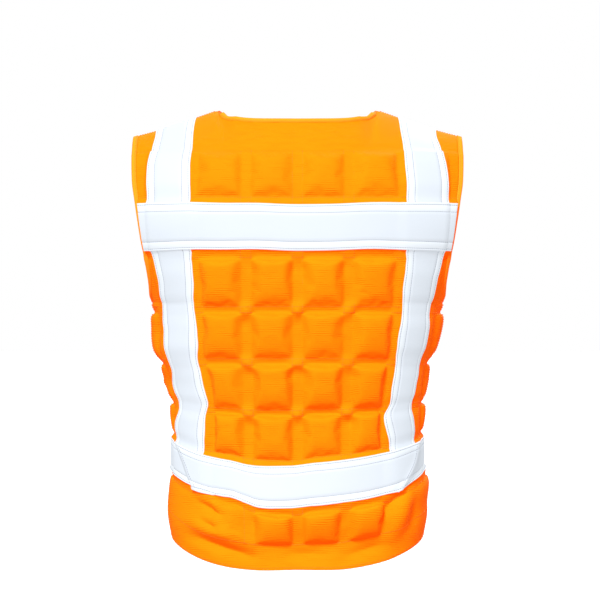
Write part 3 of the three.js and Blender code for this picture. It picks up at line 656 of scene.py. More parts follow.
def pillowShape(grid):
    # Water-filled pillows hang: they swell slowly from the top and turn in sharply at the bottom
    p, q = np.clip(grid["p"], 0, 1), np.clip(grid["q"], 0, 1)
    number = grid["row"] * 8 + grid["kind"] * 2 + (grid["side"] > 0)
    chance = np.random.default_rng(padding["seed"]).uniform(-1, 1, (3, 80))[:, number]
    yoke = grid["row"] == 0
    full = np.where(grid["row"] == 7, padding["lowFullest"], padding["fullest"])
    full = full + 0.4 * padding["variety"] * chance[0]
    rise = np.where(yoke, yokePillows["rise"], padding["rise"])
    above = np.sin(0.5 * math.pi * np.clip(q / full, 0, 1) ** rise)
    below = np.clip(1 - np.clip((q - full) / (1 - full), 0, 1) ** padding["bend"], 0, 1) ** padding["fall"]
    p = p ** (1 + padding["variety"] * chance[1])
    across = 1 - np.abs(2 * p - 1) ** np.where(yoke, yokePillows["flatness"], padding["flatness"])
    down = np.where(q < full, above, below)
    # Hipped rather than domed: its slopes meet in ridges that run in from the corners
    k = -padding["sharpness"]
    crown = ((np.maximum(across, 1e-3) ** k + np.maximum(down, 1e-3) ** k) / 2) ** (1 / k)
    slack = (grid["row"] == 7) & (grid["kind"] == 2) & (grid["side"] < 0)
    crown = crown * np.where(grid["kind"] == 3, padding["sides"], 1)
    crown = crown * np.where(yoke, yokePillows["height"], 1) * np.where(slack, padding["slackCell"], 1)
    crown = crown * (1 + padding["variety"] * chance[2])
    return np.where(grid["free"], crown, 0)


def blowUp(name, grid):
    points = grid["p3"] + grid["out"] * (vest["cloth"] + grid["bed"])[..., None]
    crown = pillowShape(grid)
    rows, columns = crown.shape
    begin = points + grid["out"] * (padding["start"] * crown)[..., None]
    faces = gridFaces(rows, columns, 0, grid["face"] == "front")
    sheet = makeMesh(name + "Cloth", begin.reshape(-1, 3), faces, None)
    group = sheet.vertex_groups.new(name="held")
    group.add(np.flatnonzero(~grid["free"].ravel()).tolist(), 1.0, "REPLACE")
    cloth = sheet.modifiers.new("cloth", "CLOTH")
    settings = cloth.settings
    settings.quality = 6
    settings.mass = 0.15
    settings.air_damping = 2.0
    settings.tension_stiffness = settings.compression_stiffness = 12
    settings.shear_stiffness = 4
    settings.bending_stiffness = 0.4
    settings.shrink_min = -padding["slack"]
    settings.use_pressure = True
    settings.uniform_pressure_force = padding["pressure"]
    settings.vertex_group_mass = "held"
    settings.effector_weights.gravity = padding["gravity"]
    cloth.point_cache.frame_start, cloth.point_cache.frame_end = 1, padding["frames"]
    for step in range(1, padding["frames"] + 1):
        scene.frame_set(step)
    result = sheet.evaluated_get(bpy.context.evaluated_depsgraph_get()).to_mesh()
    after = np.empty(rows * columns * 3)
    result.vertices.foreach_get("co", after)
    bpy.data.objects.remove(sheet)
    scene.frame_set(1)
    moved = after.reshape(rows, columns, 3) * 1000 - points
    lift = (moved * grid["out"]).sum(-1)
    print("  ", name, "pillows rise to", round(float(lift.max()), 1), "mm")
    drift = moved - lift[..., None] * grid["out"]
    size = np.linalg.norm(drift, axis=-1, keepdims=True)
    drift = drift * np.minimum(1, padding["drift"] / np.maximum(size, 1e-6))
    lift = np.clip(lift, -1.0, padding["cap"])
    return points + np.where(grid["free"][..., None], drift + lift[..., None] * grid["out"], 0)


# Where two channels cross, the cloth stands up above the crossing and is drawn in below it.
# Rows are counted from the yoke; beside a tape the cloth only dips and its strips stay low.
pucker = {
    "rows": (2, 3, 4, 5, 7), "fullRows": (3, 4, 5), "lowRows": (2, 7), "wide": 8.0, "high": 9.5, "up": 6.2,
    "upAt": 2.5, "down": -2.4, "downAt": 16.0, "extent": (0.8, 1.2), "strength": (0.7, 1.25), "lean": 0.6,
    "seed": 21, "stripTop": 0.7, "stripLow": -2.3, "stripEase": 2.6, "deepest": -2.5,
}


def puckerLift(grid):
    drop = grid["drop"]
    lift = np.zeros_like(drop)
    rng = np.random.default_rng(pucker["seed"])
    seam = (lineColumn["seamIn"] + lineColumn["seamOut"]) / 2
    seams = [(seam, 1), (seam, -1), (0, 0)] if grid["face"] == "back" else [(seam, 0)]
    channels = [(row["index"], row["top"] - quilting["rowChannel"] / 2) for row in quiltRows(grid["face"])
                if row["index"] in pucker["rows"]]
    for line, side in seams:
        side = side or grid["side"][0, -1 if grid["side"][0, -1] > 0 else 0]
        middle = sample(grid, "length", np.arange(drop.shape[0]), columnOf(grid, side, line))[:, None]
        away = np.where(grid["side"] * side >= 0, grid["length"] - middle, grid["length"] + middle)
        for index, at in channels:
            wide = pucker["wide"] * rng.uniform(*pucker["extent"])
            high = pucker["high"] * rng.uniform(*pucker["extent"])
            size = rng.uniform(*pucker["strength"])
            lean = rng.uniform(-pucker["lean"], pucker["lean"])
            v = drop - at
            u = away - lean * v
            if index in pucker["fullRows"]:
                lift += pucker["up"] * size * np.exp(-(u / wide) ** 2 - ((v - pucker["upAt"]) / high) ** 2)
            lift += pucker["down"] * size * np.exp(-(u / wide) ** 2 - ((v - pucker["downAt"]) / high) ** 2)
    # Above each pillow a flat strip leans inwards, down to the pillow's top edge
    for row in quiltRows(grid["face"]):
        if not row["taped"] and row["index"] > 0:
            down = (drop - row["top"]) / quilting["rowChannel"] + 1
            high = 0 if row["index"] in pucker["lowRows"] else pucker["stripTop"]
            strip = mix(high, pucker["stripLow"], np.clip(down, 0, 1))
            ease = quilting["rowChannel"] / pucker["stripEase"]
            lift += strip * smooth(1 + down * ease) * smooth(1 - (down - 1) * ease) * (grid["kind"] > 0)
    return np.maximum(lift, pucker["deepest"])


def panel(name, grid, node):
    outer = blowUp(name, grid)
    back = grid["face"] == "back"
    outer = outer + grid["out"] * puckerLift(grid)[..., None]
    rows, columns = grid["drop"].shape
    # The lining side is plain, so it needs only every second line of the outer cloth
    r = np.array([*range(0, rows - 1, 2), rows - 1])
    c = np.array([*range(0, columns - 1, 2), columns - 1])
    inner = grid["p3"][np.ix_(r, c)]
    # Sewn edges reach a little past the seam and keep their corners, so that no light shows through it
    sewn = [np.abs(cloth[..., 1]) < vest["seamGap"] for cloth in (outer, inner)]
    for cloth, onSeam in zip((outer, inner), sewn):
        cloth[..., 1] += onSeam * (vest["seamReach"] if back else -vest["seamReach"])
    start, wide = rows * columns, len(c)
    points = np.concatenate([outer.reshape(-1, 3), inner.reshape(-1, 3)])
    faces = gridFaces(rows, columns, 0, not back) + gridFaces(len(r), wide, start, back)
    for j, outerLow in ((0, 0), (len(r) - 1, (rows - 1) * columns)):
        for i in range(len(c) - 1):
            over = [outerLow + k for k in range(c[i], c[i + 1] + 1)]
            face = over + [start + j * wide + i + 1, start + j * wide + i]
            faces.append(face[::-1] if (j == 0) == back else face)
    for i, outerLow in ((0, 0), (len(c) - 1, columns - 1)):
        for j in range(len(r) - 1):
            over = [outerLow + k * columns for k in range(r[j], r[j + 1] + 1)]
            face = over + [start + (j + 1) * wide + i, start + j * wide + i]
            faces.append(face if (i == 0) == back else face[::-1])
    side = np.where(grid["side"] == 0, 1, grid["side"]) * grid["length"]
    uv = np.stack([side, -grid["travel"]], -1)
    obj = makeMesh(name, points, faces, shell,
                   np.concatenate([uv.reshape(-1, 2), uv[np.ix_(r, c)].reshape(-1, 2)]))
    # The rims stay crisp, so that sewn edges meet
    rim = np.zeros(len(points), int)
    border = np.zeros((rows, columns), int)
    border[[0, -1]] = border[:, [0, -1]] = 1
    innerBorder = np.zeros((len(r), wide), int)
    innerBorder[[0, -1]] = innerBorder[:, [0, -1]] = 2
    rim[:start], rim[start:] = border.ravel(), innerBorder.ravel()
    ends = np.empty(len(obj.data.edges) * 2, int)
    obj.data.edges.foreach_get("vertices", ends)
    pair = rim[ends].reshape(-1, 2)
    crease = obj.data.attributes.new("crease_edge", "FLOAT", "EDGE")
    crease.data.foreach_set("value", 0.95 * ((pair[:, 0] > 0) & (pair[:, 0] == pair[:, 1])))
    held = obj.data.attributes.new("crease_vert", "FLOAT", "POINT")
    held.data.foreach_set("value", np.concatenate([onSeam.ravel() for onSeam in sewn]).astype(np.float32))
    subdivide = obj.modifiers.new("smoothCloth", "SUBSURF")
    subdivide.levels = subdivide.render_levels = 1
    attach(obj, "root")
    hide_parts(node)
    grid["outer"] = outer


for grid in [backGrid, *fronts.values()]:
    # Distance travelled up the cloth from the hem, so that the ribs keep their spacing over the shoulders
    step = np.linalg.norm(np.diff(grid["p3"], axis=0), axis=-1)
    grid["travel"] = -np.concatenate([np.zeros((1, step.shape[1])), np.cumsum(step, 0)])
    torso = grid["torsoRows"]
    fixed = grid["p3"][:torso, :, 2] * -1
    grid["travel"][:torso] = fixed
    grid["travel"][torso:] = fixed[-1] - np.cumsum(step[torso - 1:], 0)

panel("backPanel", backGrid, "back_panel")
panel("frontPanelLeft", fronts["left"], "front_panel_left")
panel("frontPanelRight", fronts["right"], "front_panel_right")
print("panels quilted")


def reflectiveTape(name, settings):
    # Glass-bead reflective tape: a smooth silver-white band on a white woven backing that shows as a
    # border on either side. A painted glow, an even emission for the light that the beads send back, keeps it
    # bright where it turns away.
    material, tree = newMaterial(name)
    cloth = addNode(tree, "ShaderNodeUVMap", {"uv_map": "clothMap"}).outputs["UV"]
    across = addNode(tree, "ShaderNodeSeparateXYZ", None, {0: cloth}).outputs["Y"]
    away = addNode(tree, "ShaderNodeMath", {"operation": "ABSOLUTE"}, {0: across})
    band = addNode(tree, "ShaderNodeMapRange", {"interpolation_type": "SMOOTHSTEP"},
                   {"Value": away.outputs[0], "From Min": settings["bandHalf"] / 1000 + 0.0003,
                    "From Max": settings["bandHalf"] / 1000 - 0.0003})
    weave = addNode(tree, "ShaderNodeTexNoise", None, {"Vector": addNode(
        tree, "ShaderNodeMapping", None, {"Vector": cloth, "Scale": (900.0, 900.0, 1.0)}).outputs[0],
        "Scale": 1.0, "Detail": 2.0})
    beads = addNode(tree, "ShaderNodeTexVoronoi", None, {"Vector": cloth, "Scale": 1400.0})
    broad = addNode(tree, "ShaderNodeTexNoise", None, {"Vector": cloth, "Scale": 14.0, "Detail": 3.0})
    silver = addNode(tree, "ShaderNodeMix", {"data_type": "RGBA"},
                     {"Factor": broad.outputs["Fac"], 6: linear(settings["silverDark"]),
                      7: linear(settings["silver"])})
    colour = addNode(tree, "ShaderNodeMix", {"data_type": "RGBA"},
                     {"Factor": band.outputs[0], 6: linear(settings["border"]), 7: silver.outputs[2]})
    for place in stitchLines.values():
        # Painted shade along each stitch line, where the needle draws the tape down into a groove
        off = addNode(tree, "ShaderNodeMath", {"operation": "SUBTRACT"},
                      {0: away.outputs[0], 1: place / 1000})
        near = addNode(tree, "ShaderNodeMath", {"operation": "ABSOLUTE"}, {0: off.outputs[0]})
        line = addNode(tree, "ShaderNodeMapRange", {"interpolation_type": "SMOOTHSTEP"},
                       {"Value": near.outputs[0], "From Min": 0.0007, "From Max": 0.0002, "To Max": 0.7})
        colour = addNode(tree, "ShaderNodeMix", {"data_type": "RGBA"},
                         {"Factor": line.outputs[0], 6: colour.outputs[2], 7: linear(settings["stitchGrooveShade"])})
    height = addNode(tree, "ShaderNodeMix", {"data_type": "FLOAT"},
                     {"Factor": band.outputs[0], 2: weave.outputs["Fac"], 3: beads.outputs["Distance"]})
    bump = addNode(tree, "ShaderNodeBump", None,
                   {"Height": height.outputs[0], "Strength": 0.18, "Distance": 0.0003})
    rough = addNode(tree, "ShaderNodeMapRange", None,
                    {"Value": band.outputs[0], "To Min": 0.75, "To Max": settings["bandRoughness"]})
    shader = addNode(tree, "ShaderNodeBsdfPrincipled", None,
                     {"Base Color": colour.outputs[2], "Roughness": rough.outputs[0],
                      "Normal": bump.outputs[0],
                      "IOR": 1.5, "Specular IOR Level": 0.3, "Emission Color": linear(settings["returned"]),
                      "Emission Strength": settings["paintedReturnStrength"]})
    addNode(tree, "ShaderNodeOutputMaterial", None, {"Surface": shader.outputs[0]})
    return material


# Distances of the two lines of stitches from the tape's middle
stitchLines = {"outer": 27.4, "inner": 18.7}
# The tape's painted glow and the painted shade in its stitch grooves are set here
silverTape = reflectiveTape("glassBeadTape", {
    "bandHalf": 19.0, "silver": "#969CA3", "silverDark": "#90969E", "border": "#A6ABAF",
    "bandRoughness": 0.5, "returned": "#F0F7FF", "paintedReturnStrength": 0.56, "stitchGrooveShade": "#6F7686"})

# Across a tape: how far each line lies from its middle, and how high it stands over the woven backing
tapeProfile = [
    {"across": -30.0, "height": 0.35}, {"across": -29.4, "height": 0.8}, {"across": -28.4, "height": 0.85},
    {"across": -27.4, "height": 0.45}, {"across": -26.4, "height": 0.85}, {"across": -22.0, "height": 0.9},
    {"across": -19.6, "height": 0.85}, {"across": -18.7, "height": 0.45}, {"across": -17.8, "height": 1.15},
    {"across": -14.0, "height": 1.25}, {"across": -6.0, "height": 1.3}, {"across": 0.0, "height": 1.3},
]
tapeProfile += [{**line, "across": -line["across"]} for line in reversed(tapeProfile[:-1])]
tapeAcross = np.array([line["across"] for line in tapeProfile])
tapeHeight = np.array([line["height"] for line in tapeProfile])
stitchPaths = []


def layTape(name, base, out, level, length, node, sewnAcross=()):
    # base, out and level have a row for each line of the profile and a column for each place along
    top = base + out * (level + tapeHeight[:, None])[..., None]
    bottom = base + out * level[..., None]
    lines, places = level.shape
    points = np.concatenate([top.reshape(-1, 3), bottom.reshape(-1, 3)])
    uv = mapOf(length, tapeAcross[:, None], level.shape)
    a, b, c = points[0], points[1], points[places]
    facing = np.dot(np.cross(b - a, c - a), out[0, 0]) > 0
    faces = gridFaces(lines, places, 0, not facing)
    faces += gridFaces(lines, places, lines * places, facing)
    faces += rimFaces(lines, places, 0, lines * places, not facing)
    obj = makeMesh(name, points, faces, silverTape, np.concatenate([uv, uv]))
    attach(obj, "root")
    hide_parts(node)
    for sign in (-1, 1):
        for where in stitchLines.values():
            line = int(np.argmin(np.abs(tapeAcross - sign * where)))
            stitchPaths.append({"points": top[line, 1:-1], "out": out[line, 1:-1], "owner": name})
    for place in sewnAcross:
        stitchPaths.append({"points": top[3:-3, place], "out": out[3:-3, place], "owner": name})


def waver(length, amount, period, seed):
    # A slow, uneven wave along a tape: a share of the amount at each of three periods
    phase = np.random.default_rng(seed).uniform(0, 2 * math.pi, 3)
    waves = [(0.6, period), (0.3, period * 0.57), (0.25, period * 1.9)]
    return amount * sum(share * np.sin(2 * math.pi * length / each + start)
                        for (share, each), start in zip(waves, phase))


def bedLevel(grid, row, column):
    return vest["cloth"] + sample(grid, "bed", row, column) + tape["gap"]


# Shoulder tapes: up the back from under the waist tape, over the shoulder and down the front
shoulderTapes = {"sway": 2.2, "swayPeriod": 150.0, "seed": 11, "pinch": 1.6, "frontRun": 90.0}
# How far the pillows and the worn shape have pulled each edge sideways on the back, towards the right
shoulderEdges = [
    {"drop": 0.0, "leftOut": 3.0, "leftIn": -3.0, "rightIn": 2.5, "rightOut": -5.0},
    {"drop": 43.0, "leftOut": 3.8, "leftIn": -3.8, "rightIn": 2.6, "rightOut": -8.0},
    {"drop": 63.0, "leftOut": 1.3, "leftIn": -2.6, "rightIn": 3.8, "rightOut": -3.5},
    {"drop": 101.0, "leftOut": -1.0, "leftIn": -1.3, "rightIn": 3.0, "rightOut": 0.5},
    {"drop": 150.0, "leftOut": -1.0, "leftIn": -1.0, "rightIn": 2.0, "rightOut": 0.5},
    {"drop": 206.0, "leftOut": 1.3, "leftIn": 0.0, "rightIn": 5.0, "rightOut": 1.0},
    {"drop": 229.0, "leftOut": 4.5, "leftIn": -2.6, "rightIn": 7.0, "rightOut": -3.0},
    {"drop": 252.0, "leftOut": 1.5, "leftIn": -3.8, "rightIn": 5.0, "rightOut": -3.0},
    {"drop": 275.0, "leftOut": 0.0, "leftIn": -2.6, "rightIn": 2.6, "rightOut": -5.5},
    {"drop": 298.0, "leftOut": 3.8, "leftIn": -2.0, "rightIn": 1.3, "rightOut": -6.5},
    {"drop": 321.0, "leftOut": 6.0, "leftIn": 2.6, "rightIn": 1.3, "rightOut": -6.0},
    {"drop": 344.0, "leftOut": 6.0, "leftIn": 1.3, "rightIn": 3.8, "rightOut": -6.0},
    {"drop": 368.0, "leftOut": 1.5, "leftIn": -2.6, "rightIn": 5.0, "rightOut": -8.5},
    {"drop": 391.0, "leftOut": 3.8, "leftIn": 0.0, "rightIn": 5.0, "rightOut": -9.0},
    {"drop": 414.0, "leftOut": 4.0, "leftIn": -5.0, "rightIn": -1.3, "rightOut": -9.0},
    {"drop": 437.0, "leftOut": 1.0, "leftIn": -6.4, "rightIn": 1.3, "rightOut": -8.0},
    {"drop": 460.0, "leftOut": 0.0, "leftIn": -5.0, "rightIn": 2.6, "rightOut": -6.0},
]


def shoulderTape(side, node, name):
    share = tapeAcross / tape["width"] + 0.5
    lines = mix(lineColumn["tapeIn"], lineColumn["tapeOut"], share)
    steps = (lineColumn["tapeOut"] - lineColumn["tapeIn"]) / tape["width"]
    key = "left" if side < 0 else "right"
    base, out, level = [], [], []
    for grid, reverse in ((backGrid, False), (fronts[key], True)):
        wide = grid["drop"].shape[1]
        start = rowOf(grid, waistTapeTop + tape["width"] / 2)
        rows = np.arange(math.ceil(start), grid["drop"].shape[0])
        rows = rows[::-1] if reverse else rows
        drops = grid["drop"][rows, wide // 2]
        inTorso = smooth((grid["torsoRows"] - rows) / 8)
        sway = inTorso * waver(drops, shoulderTapes["sway"], shoulderTapes["swayPeriod"],
                               shoulderTapes["seed"] + side)
        # It is drawn in a little at each channel from the third row down
        turn = 2 * math.pi * (drops - quilting["topDrop"]) / quilting["rowPitch"]
        pinch = -shoulderTapes["pinch"] * np.cos(turn) * inTorso
        pinch = pinch * (drops > quilting["topDrop"] + 2 * quilting["rowPitch"])
        for n, row in enumerate(rows):
            edgeMove = np.sign(tapeAcross) * np.abs(tapeAcross / 30) ** 3 * pinch[n]
            column = columnOf(grid, side, lines + (sway[n] + edgeMove) * steps)
            at = drops[n] if not reverse else 0.0
            pull = mix(along(shoulderEdges, "drop", key + "In", at),
                       along(shoulderEdges, "drop", key + "Out", at), share)
            pull = pull * (smooth(1 - drops[n] / shoulderTapes["frontRun"]) if reverse else 1)
            x = sample(grid, "p3", float(row), column)[:, 0] + pull
            column = np.interp(x, grid["p3"][row, :, 0], np.arange(wide))
            base.append(sample(grid, "p3", float(row), column))
            out.append(sample(grid, "out", float(row), column))
            level.append(bedLevel(grid, float(row), column))
    base, out, level = np.array(base), np.array(out), np.array(level)
    # Over the shoulder seam the two faces' directions are averaged, so that the tape doesn't kink
    for _ in range(2):
        out[1:-1] = 0.25 * out[:-2] + 0.5 * out[1:-1] + 0.25 * out[2:]
        out /= np.linalg.norm(out, axis=-1, keepdims=True)
    length = distances(base[:, len(tapeAcross) // 2])
    layTape(name, np.swapaxes(base, 0, 1), np.swapaxes(out, 0, 1), level.T, length, node)


shoulderTape(-1, "shoulder_tape_left", "shoulderTapeLeft")
shoulderTape(1, "shoulder_tape_right", "shoulderTapeRight")


# Tapes across a face: the chest tape, the back waist tape and the two front ones
crossing = {"period": 130.0, "sagWidth": 50.0, "droopFrom": 88.0, "droopOver": 45.0, "clear": 0.15}


def overShoulder(grid, column):
    # 1 over a shoulder tape, and easing to 0 beside it
    if grid["face"] == "back":
        line = np.abs(column - lastColumn)
    else:
        line = column if grid["side"][0, 0] > 0 else lastColumn - column
    return windowed(line, lineColumn["tapeIn"] - 0.1, lineColumn["tapeOut"] + 0.1, 0.8)


def crossTape(pieces, top, waviness, seed, sag=0.0, droop=0.0):
    # pieces: grids, their columns in order (a row for each line of the profile) and where they lie on
    # another tape. The tape sags in the middle of the back, and its lower edge droops at the left end.
    base, out, level = [], [], []
    low = (tapeAcross / tape["width"] + 0.5)[:, None]
    for grid, columns, extra in pieces:
        columns = np.broadcast_to(columns, (len(tapeAcross), np.shape(columns)[-1]))
        middle = sample(grid, "p3", rowOf(grid, top + tape["width"] / 2), columns[len(tapeAcross) // 2])
        x = middle[:, 0]
        down = waver(x, waviness, crossing["period"], seed) + sag * np.exp(-(x / crossing["sagWidth"]) ** 2)
        down = down + droop * smooth((-x - crossing["droopFrom"]) / crossing["droopOver"]) * low
        row = rowOf(grid, top + tape["width"] / 2 + tapeAcross[:, None] + down)
        base.append(sample(grid, "p3", row, columns))
        out.append(sample(grid, "out", row, columns))
        over = overShoulder(grid, columns) if extra is None else extra
        over = over * (tape["thickness"] + tape["gap"] + crossing["clear"])
        level.append(bedLevel(grid, row, columns) + over)
    base, out, level = (np.concatenate(v, 1) for v in (base, out, level))
    return base, out, level, distances(base[len(tapeAcross) // 2])


chestTape = {"waviness": 0.6, "seed": 4, "sag": 2.4}
chestTop = quilting["topDrop"] + quilting["rowPitch"] + tapeRowInset
chestColumns = np.arange(2 * lastColumn + 1.0)
layTape("chestTape", *crossTape([(backGrid, chestColumns, None)], chestTop, **chestTape), "chest_tape")

# The back waist tape's free ends lie over the front tapes', the left one cut on the slant and the right one
# curving in towards its bottom corner, where it also stands off a little
waistEnds = [
    {"across": -30.0, "left": -149.5, "right": 148.5}, {"across": -15.0, "left": -144.0, "right": 147.5},
    {"across": 0.0, "left": -139.0, "right": 144.5}, {"across": 15.0, "left": -134.5, "right": 138.0},
    {"across": 30.0, "left": -130.0, "right": 128.5},
]
waistTape = {
    "places": 96, "leftCurl": 0.6, "rightCurl": 3.0, "curlRun": 12.0, "droop": 5.5,
    "waviness": 1.4, "seed": 5, "frontWaviness": 1.0, "frontSeed": 8,
}
# The lines of the back's grid at which the front tapes end, at their upper and lower edges
frontEnds = {"upper": 37.5, "lower": 33.0, "places": 18}


def waistColumns():
    row = rowOf(backGrid, waistTapeTop + tape["width"] / 2 + tapeAcross)
    every = np.arange(backGrid["drop"].shape[1])
    ends = []
    for key in ("left", "right"):
        x = along(waistEnds, "across", key, tapeAcross)
        ends.append([np.interp(x[k], sample(backGrid, "p3", row[k], every)[:, 0], every)
                     for k in range(len(tapeAcross))])
    t = np.linspace(0, 1, waistTape["places"])
    return mix(np.array(ends[0])[:, None], np.array(ends[1])[:, None], t[None])


# It lies over the shoulder tapes, and beyond them over the front tapes' ends as well
columns = waistColumns()
line = np.abs(columns - lastColumn)
beyond = 2 * lastColumn
overEnds = windowed(line, lineColumn["tapeIn"] - 0.1, beyond, 0.8)
overEnds = overEnds + windowed(line, frontEnds["lower"] - 0.6, beyond, 1.2)
base, out, level, length = crossTape([(backGrid, columns, overEnds)], waistTapeTop, waistTape["waviness"],
                                     waistTape["seed"], droop=waistTape["droop"])
curl = waistTape["leftCurl"] * np.clip(1 - length / waistTape["curlRun"], 0, 1) ** 2
curl = curl + waistTape["rightCurl"] * np.clip(1 - (length[-1] - length) / waistTape["curlRun"], 0, 1) ** 2
layTape("waistTapeBack", base, out, level + curl[None], length, "waist_tape_back", (1, -2))
for side, key in ((-1, "left"), (1, "right")):
    frontColumns = columnOf(fronts[key], side, np.arange(lastColumn + 1))
    endLine = mix(frontEnds["upper"], frontEnds["lower"], tapeAcross / tape["width"] + 0.5)[:, None]
    backLines = mix(lastColumn, endLine, np.linspace(0, 1, frontEnds["places"])[None])
    pieces = [(fronts[key], frontColumns, None), (backGrid, columnOf(backGrid, side, backLines), None)]
    laid = crossTape(pieces, waistTapeTop, waistTape["frontWaviness"], waistTape["frontSeed"] + side)
    layTape("waistTapeFront" + key.capitalize(), *laid, "waist_tape_front_" + key)
print("tapes laid")


# Bindings: a folded strip round each edge, rounded where it turns
bindingShape = {"corner": 1.7, "cornerSteps": 4, "stitchIn": 1.4}


def bindingProfile():
    low, high = -binding["proud"], vest["cloth"] + binding["proud"]
    near, far, r = binding["gap"], binding["gap"] + binding["width"], bindingShape["corner"]
    centres = [(far - r, low + r, -90), (far - r, high - r, 0)]
    points = [(near, low)]
    for across, out, start in centres:
        for step in range(bindingShape["cornerSteps"] + 1):
            angle = math.radians(start + 90 * step / bindingShape["cornerSteps"])
            points.append((across + r * math.cos(angle), out + r * math.sin(angle)))
    return np.array(points + [(near, high)])


def bindEdge(name, edge, out, away, closed, node):
    following = np.roll(edge, -1, 0) if closed else np.concatenate([edge[1:], edge[-1:]])
    before = np.roll(edge, 1, 0) if closed else np.concatenate([edge[:1], edge[:-1]])
    ahead = following - before
    for _ in range(3):
        out = out + 0.5 * (np.roll(out, 1, 0) + np.roll(out, -1, 0)) if closed else out
        out = out / np.linalg.norm(out, axis=-1, keepdims=True)
    side = np.cross(ahead, out)
    side = side / np.linalg.norm(side, axis=-1, keepdims=True) * away
    profile = bindingProfile()
    rings = edge[:, None] + side[:, None] * profile[None, :, :1] + out[:, None] * profile[None, :, 1:]
    count, around = rings.shape[:2]
    uv = mapOf(distances(edge)[:, None], distances(profile), (count, around))
    obj = makeMesh(name, rings.reshape(-1, 3), ringFaces(count, around, closed), bindingCloth, uv)
    faceOutwards(obj)
    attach(obj, "root")
    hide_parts(node)
    seat = edge + side * (binding["gap"] + bindingShape["stitchIn"])
    seat = seat + out * (vest["cloth"] + binding["proud"])
    if closed:
        seat, out = np.concatenate([seat, seat[:1]]), np.concatenate([out, out[:1]])
    stitchPaths.append({"points": seat, "out": out, "owner": name})


def armholeEdge(side):
    parts = []
    for grid, reverse in ((backGrid, False), (fronts["right" if side > 0 else "left"], True)):
        column = int(columnOf(grid, side, lastColumn))
        rows = np.flatnonzero(grid["drop"][:, column] <= armpitDrop + 1e-3)
        rows = rows[::-1] if reverse else rows
        parts.append((grid["p3"][rows, column], grid["out"][rows, column]))
    return np.concatenate([p for p, _ in parts]), np.concatenate([o for _, o in parts])


def neckPath():
    neck = np.arange(0, lineColumn["neck"] + 1)
    parts = [(fronts["left"], lastColumn - neck),
             (backGrid, np.arange(lastColumn - neck[-1], lastColumn + neck[-1] + 1)),
             (fronts["right"], neck[::-1])]
    return [np.concatenate([grid[field][-1, columns] for grid, columns in parts]) for field in ("p3", "out")]


bindEdge("armholeBindingLeft", *armholeEdge(-1), -1, True, "armhole_binding_left")
bindEdge("armholeBindingRight", *armholeEdge(1), 1, True, "armhole_binding_right")
bindEdge("neckBinding", *neckPath(), -1, False, "neck_binding")
print("edges bound")


# Stitches and zip teeth: one small shape repeated along a path, lying along it and facing out of the cloth
def pathMesh(name, paths):
    points, outs, edges = [], [], []
    for path in paths:
        start = sum(len(p) for p in points)
        points.append(path["points"])
        outs.append(path["out"])
        edges += [(start + i, start + i + 1) for i in range(len(path["points"]) - 1)]
    data = bpy.data.meshes.new(name)
    data.from_pydata((np.concatenate(points) / 1000).tolist(), edges, [])
    facing = data.attributes.new("outwards", "FLOAT_VECTOR", "POINT")
    facing.data.foreach_set("vector", np.concatenate(outs).ravel())
    obj = bpy.data.objects.new(name, data)
    scene.collection.objects.link(obj)
    return obj


def repeatGroup(name, unit):
    # A node group that sets its unit shape along the paths it is given
    group = bpy.data.node_groups.new(name, "GeometryNodeTree")
    sockets = {}
    for label, kind in (("Geometry", "NodeSocketGeometry"), ("Pitch", "NodeSocketFloat"),
                        ("Size", "NodeSocketVector"), ("Material", "NodeSocketMaterial")):
        sockets[label] = group.interface.new_socket(label, in_out="INPUT", socket_type=kind).identifier
    group.interface.new_socket("Geometry", in_out="OUTPUT", socket_type="NodeSocketGeometry")
    given = addNode(group, "NodeGroupInput").outputs
    curve = addNode(group, "GeometryNodeMeshToCurve", None, {"Mesh": given["Geometry"]})
    even = addNode(group, "GeometryNodeResampleCurve", {"mode": "LENGTH"},
                   {"Curve": curve.outputs[0], "Length": given["Pitch"]})
    tangent = addNode(group, "GeometryNodeInputTangent")
    facing = addNode(group, "GeometryNodeInputNamedAttribute", {"data_type": "FLOAT_VECTOR"},
                     {"Name": "outwards"})
    ahead = addNode(group, "FunctionNodeAlignRotationToVector", {"axis": "X"}, {"Vector": tangent.outputs[0]})
    stand = addNode(group, "FunctionNodeAlignRotationToVector", {"axis": "Z", "pivot_axis": "X"},
                    {"Rotation": ahead.outputs[0], "Vector": facing.outputs["Attribute"]})
    shape = addNode(group, "GeometryNodeTransform", None,
                    {"Geometry": unit(group).outputs[0], "Scale": given["Size"]})
    placed = addNode(group, "GeometryNodeInstanceOnPoints", None,
                     {"Points": even.outputs[0], "Instance": shape.outputs[0], "Rotation": stand.outputs[0]})
    real = addNode(group, "GeometryNodeRealizeInstances", None, {"Geometry": placed.outputs[0]})
    smoothed = addNode(group, "GeometryNodeSetShadeSmooth", None, {"Geometry": real.outputs[0]})
    coated = addNode(group, "GeometryNodeSetMaterial", None,
                     {"Geometry": smoothed.outputs[0], "Material": given["Material"]})
    addNode(group, "NodeGroupOutput", None, {"Geometry": coated.outputs[0]})
    return group, sockets


def bead(group):
    return addNode(group, "GeometryNodeMeshUVSphere", None, {"Segments": 6, "Rings": 3, "Radius": 0.5})


def block(group):
    cube = addNode(group, "GeometryNodeMeshCube", None, {"Size": (1.2, 1.2, 1.2)})
    return addNode(group, "GeometryNodeSubdivisionSurface", None, {"Mesh": cube.outputs[0], "Level": 1})


def repeatAlong(name, paths, group, pitch, size, material):
    obj = pathMesh(name, paths)
    nodes, sockets = group
    modifier = obj.modifiers.new("repeat", "NODES")
    modifier.node_group = nodes
    modifier[sockets["Pitch"]] = pitch / 1000
    modifier[sockets["Size"]] = [v / 1000 for v in size]
    modifier[sockets["Material"]] = material
    obj.update_tag()
    plain = bpy.data.meshes.new_from_object(obj.evaluated_get(bpy.context.evaluated_depsgraph_get()))
    obj.modifiers.clear()
    obj.data = plain
    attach(obj, "root")
    return obj


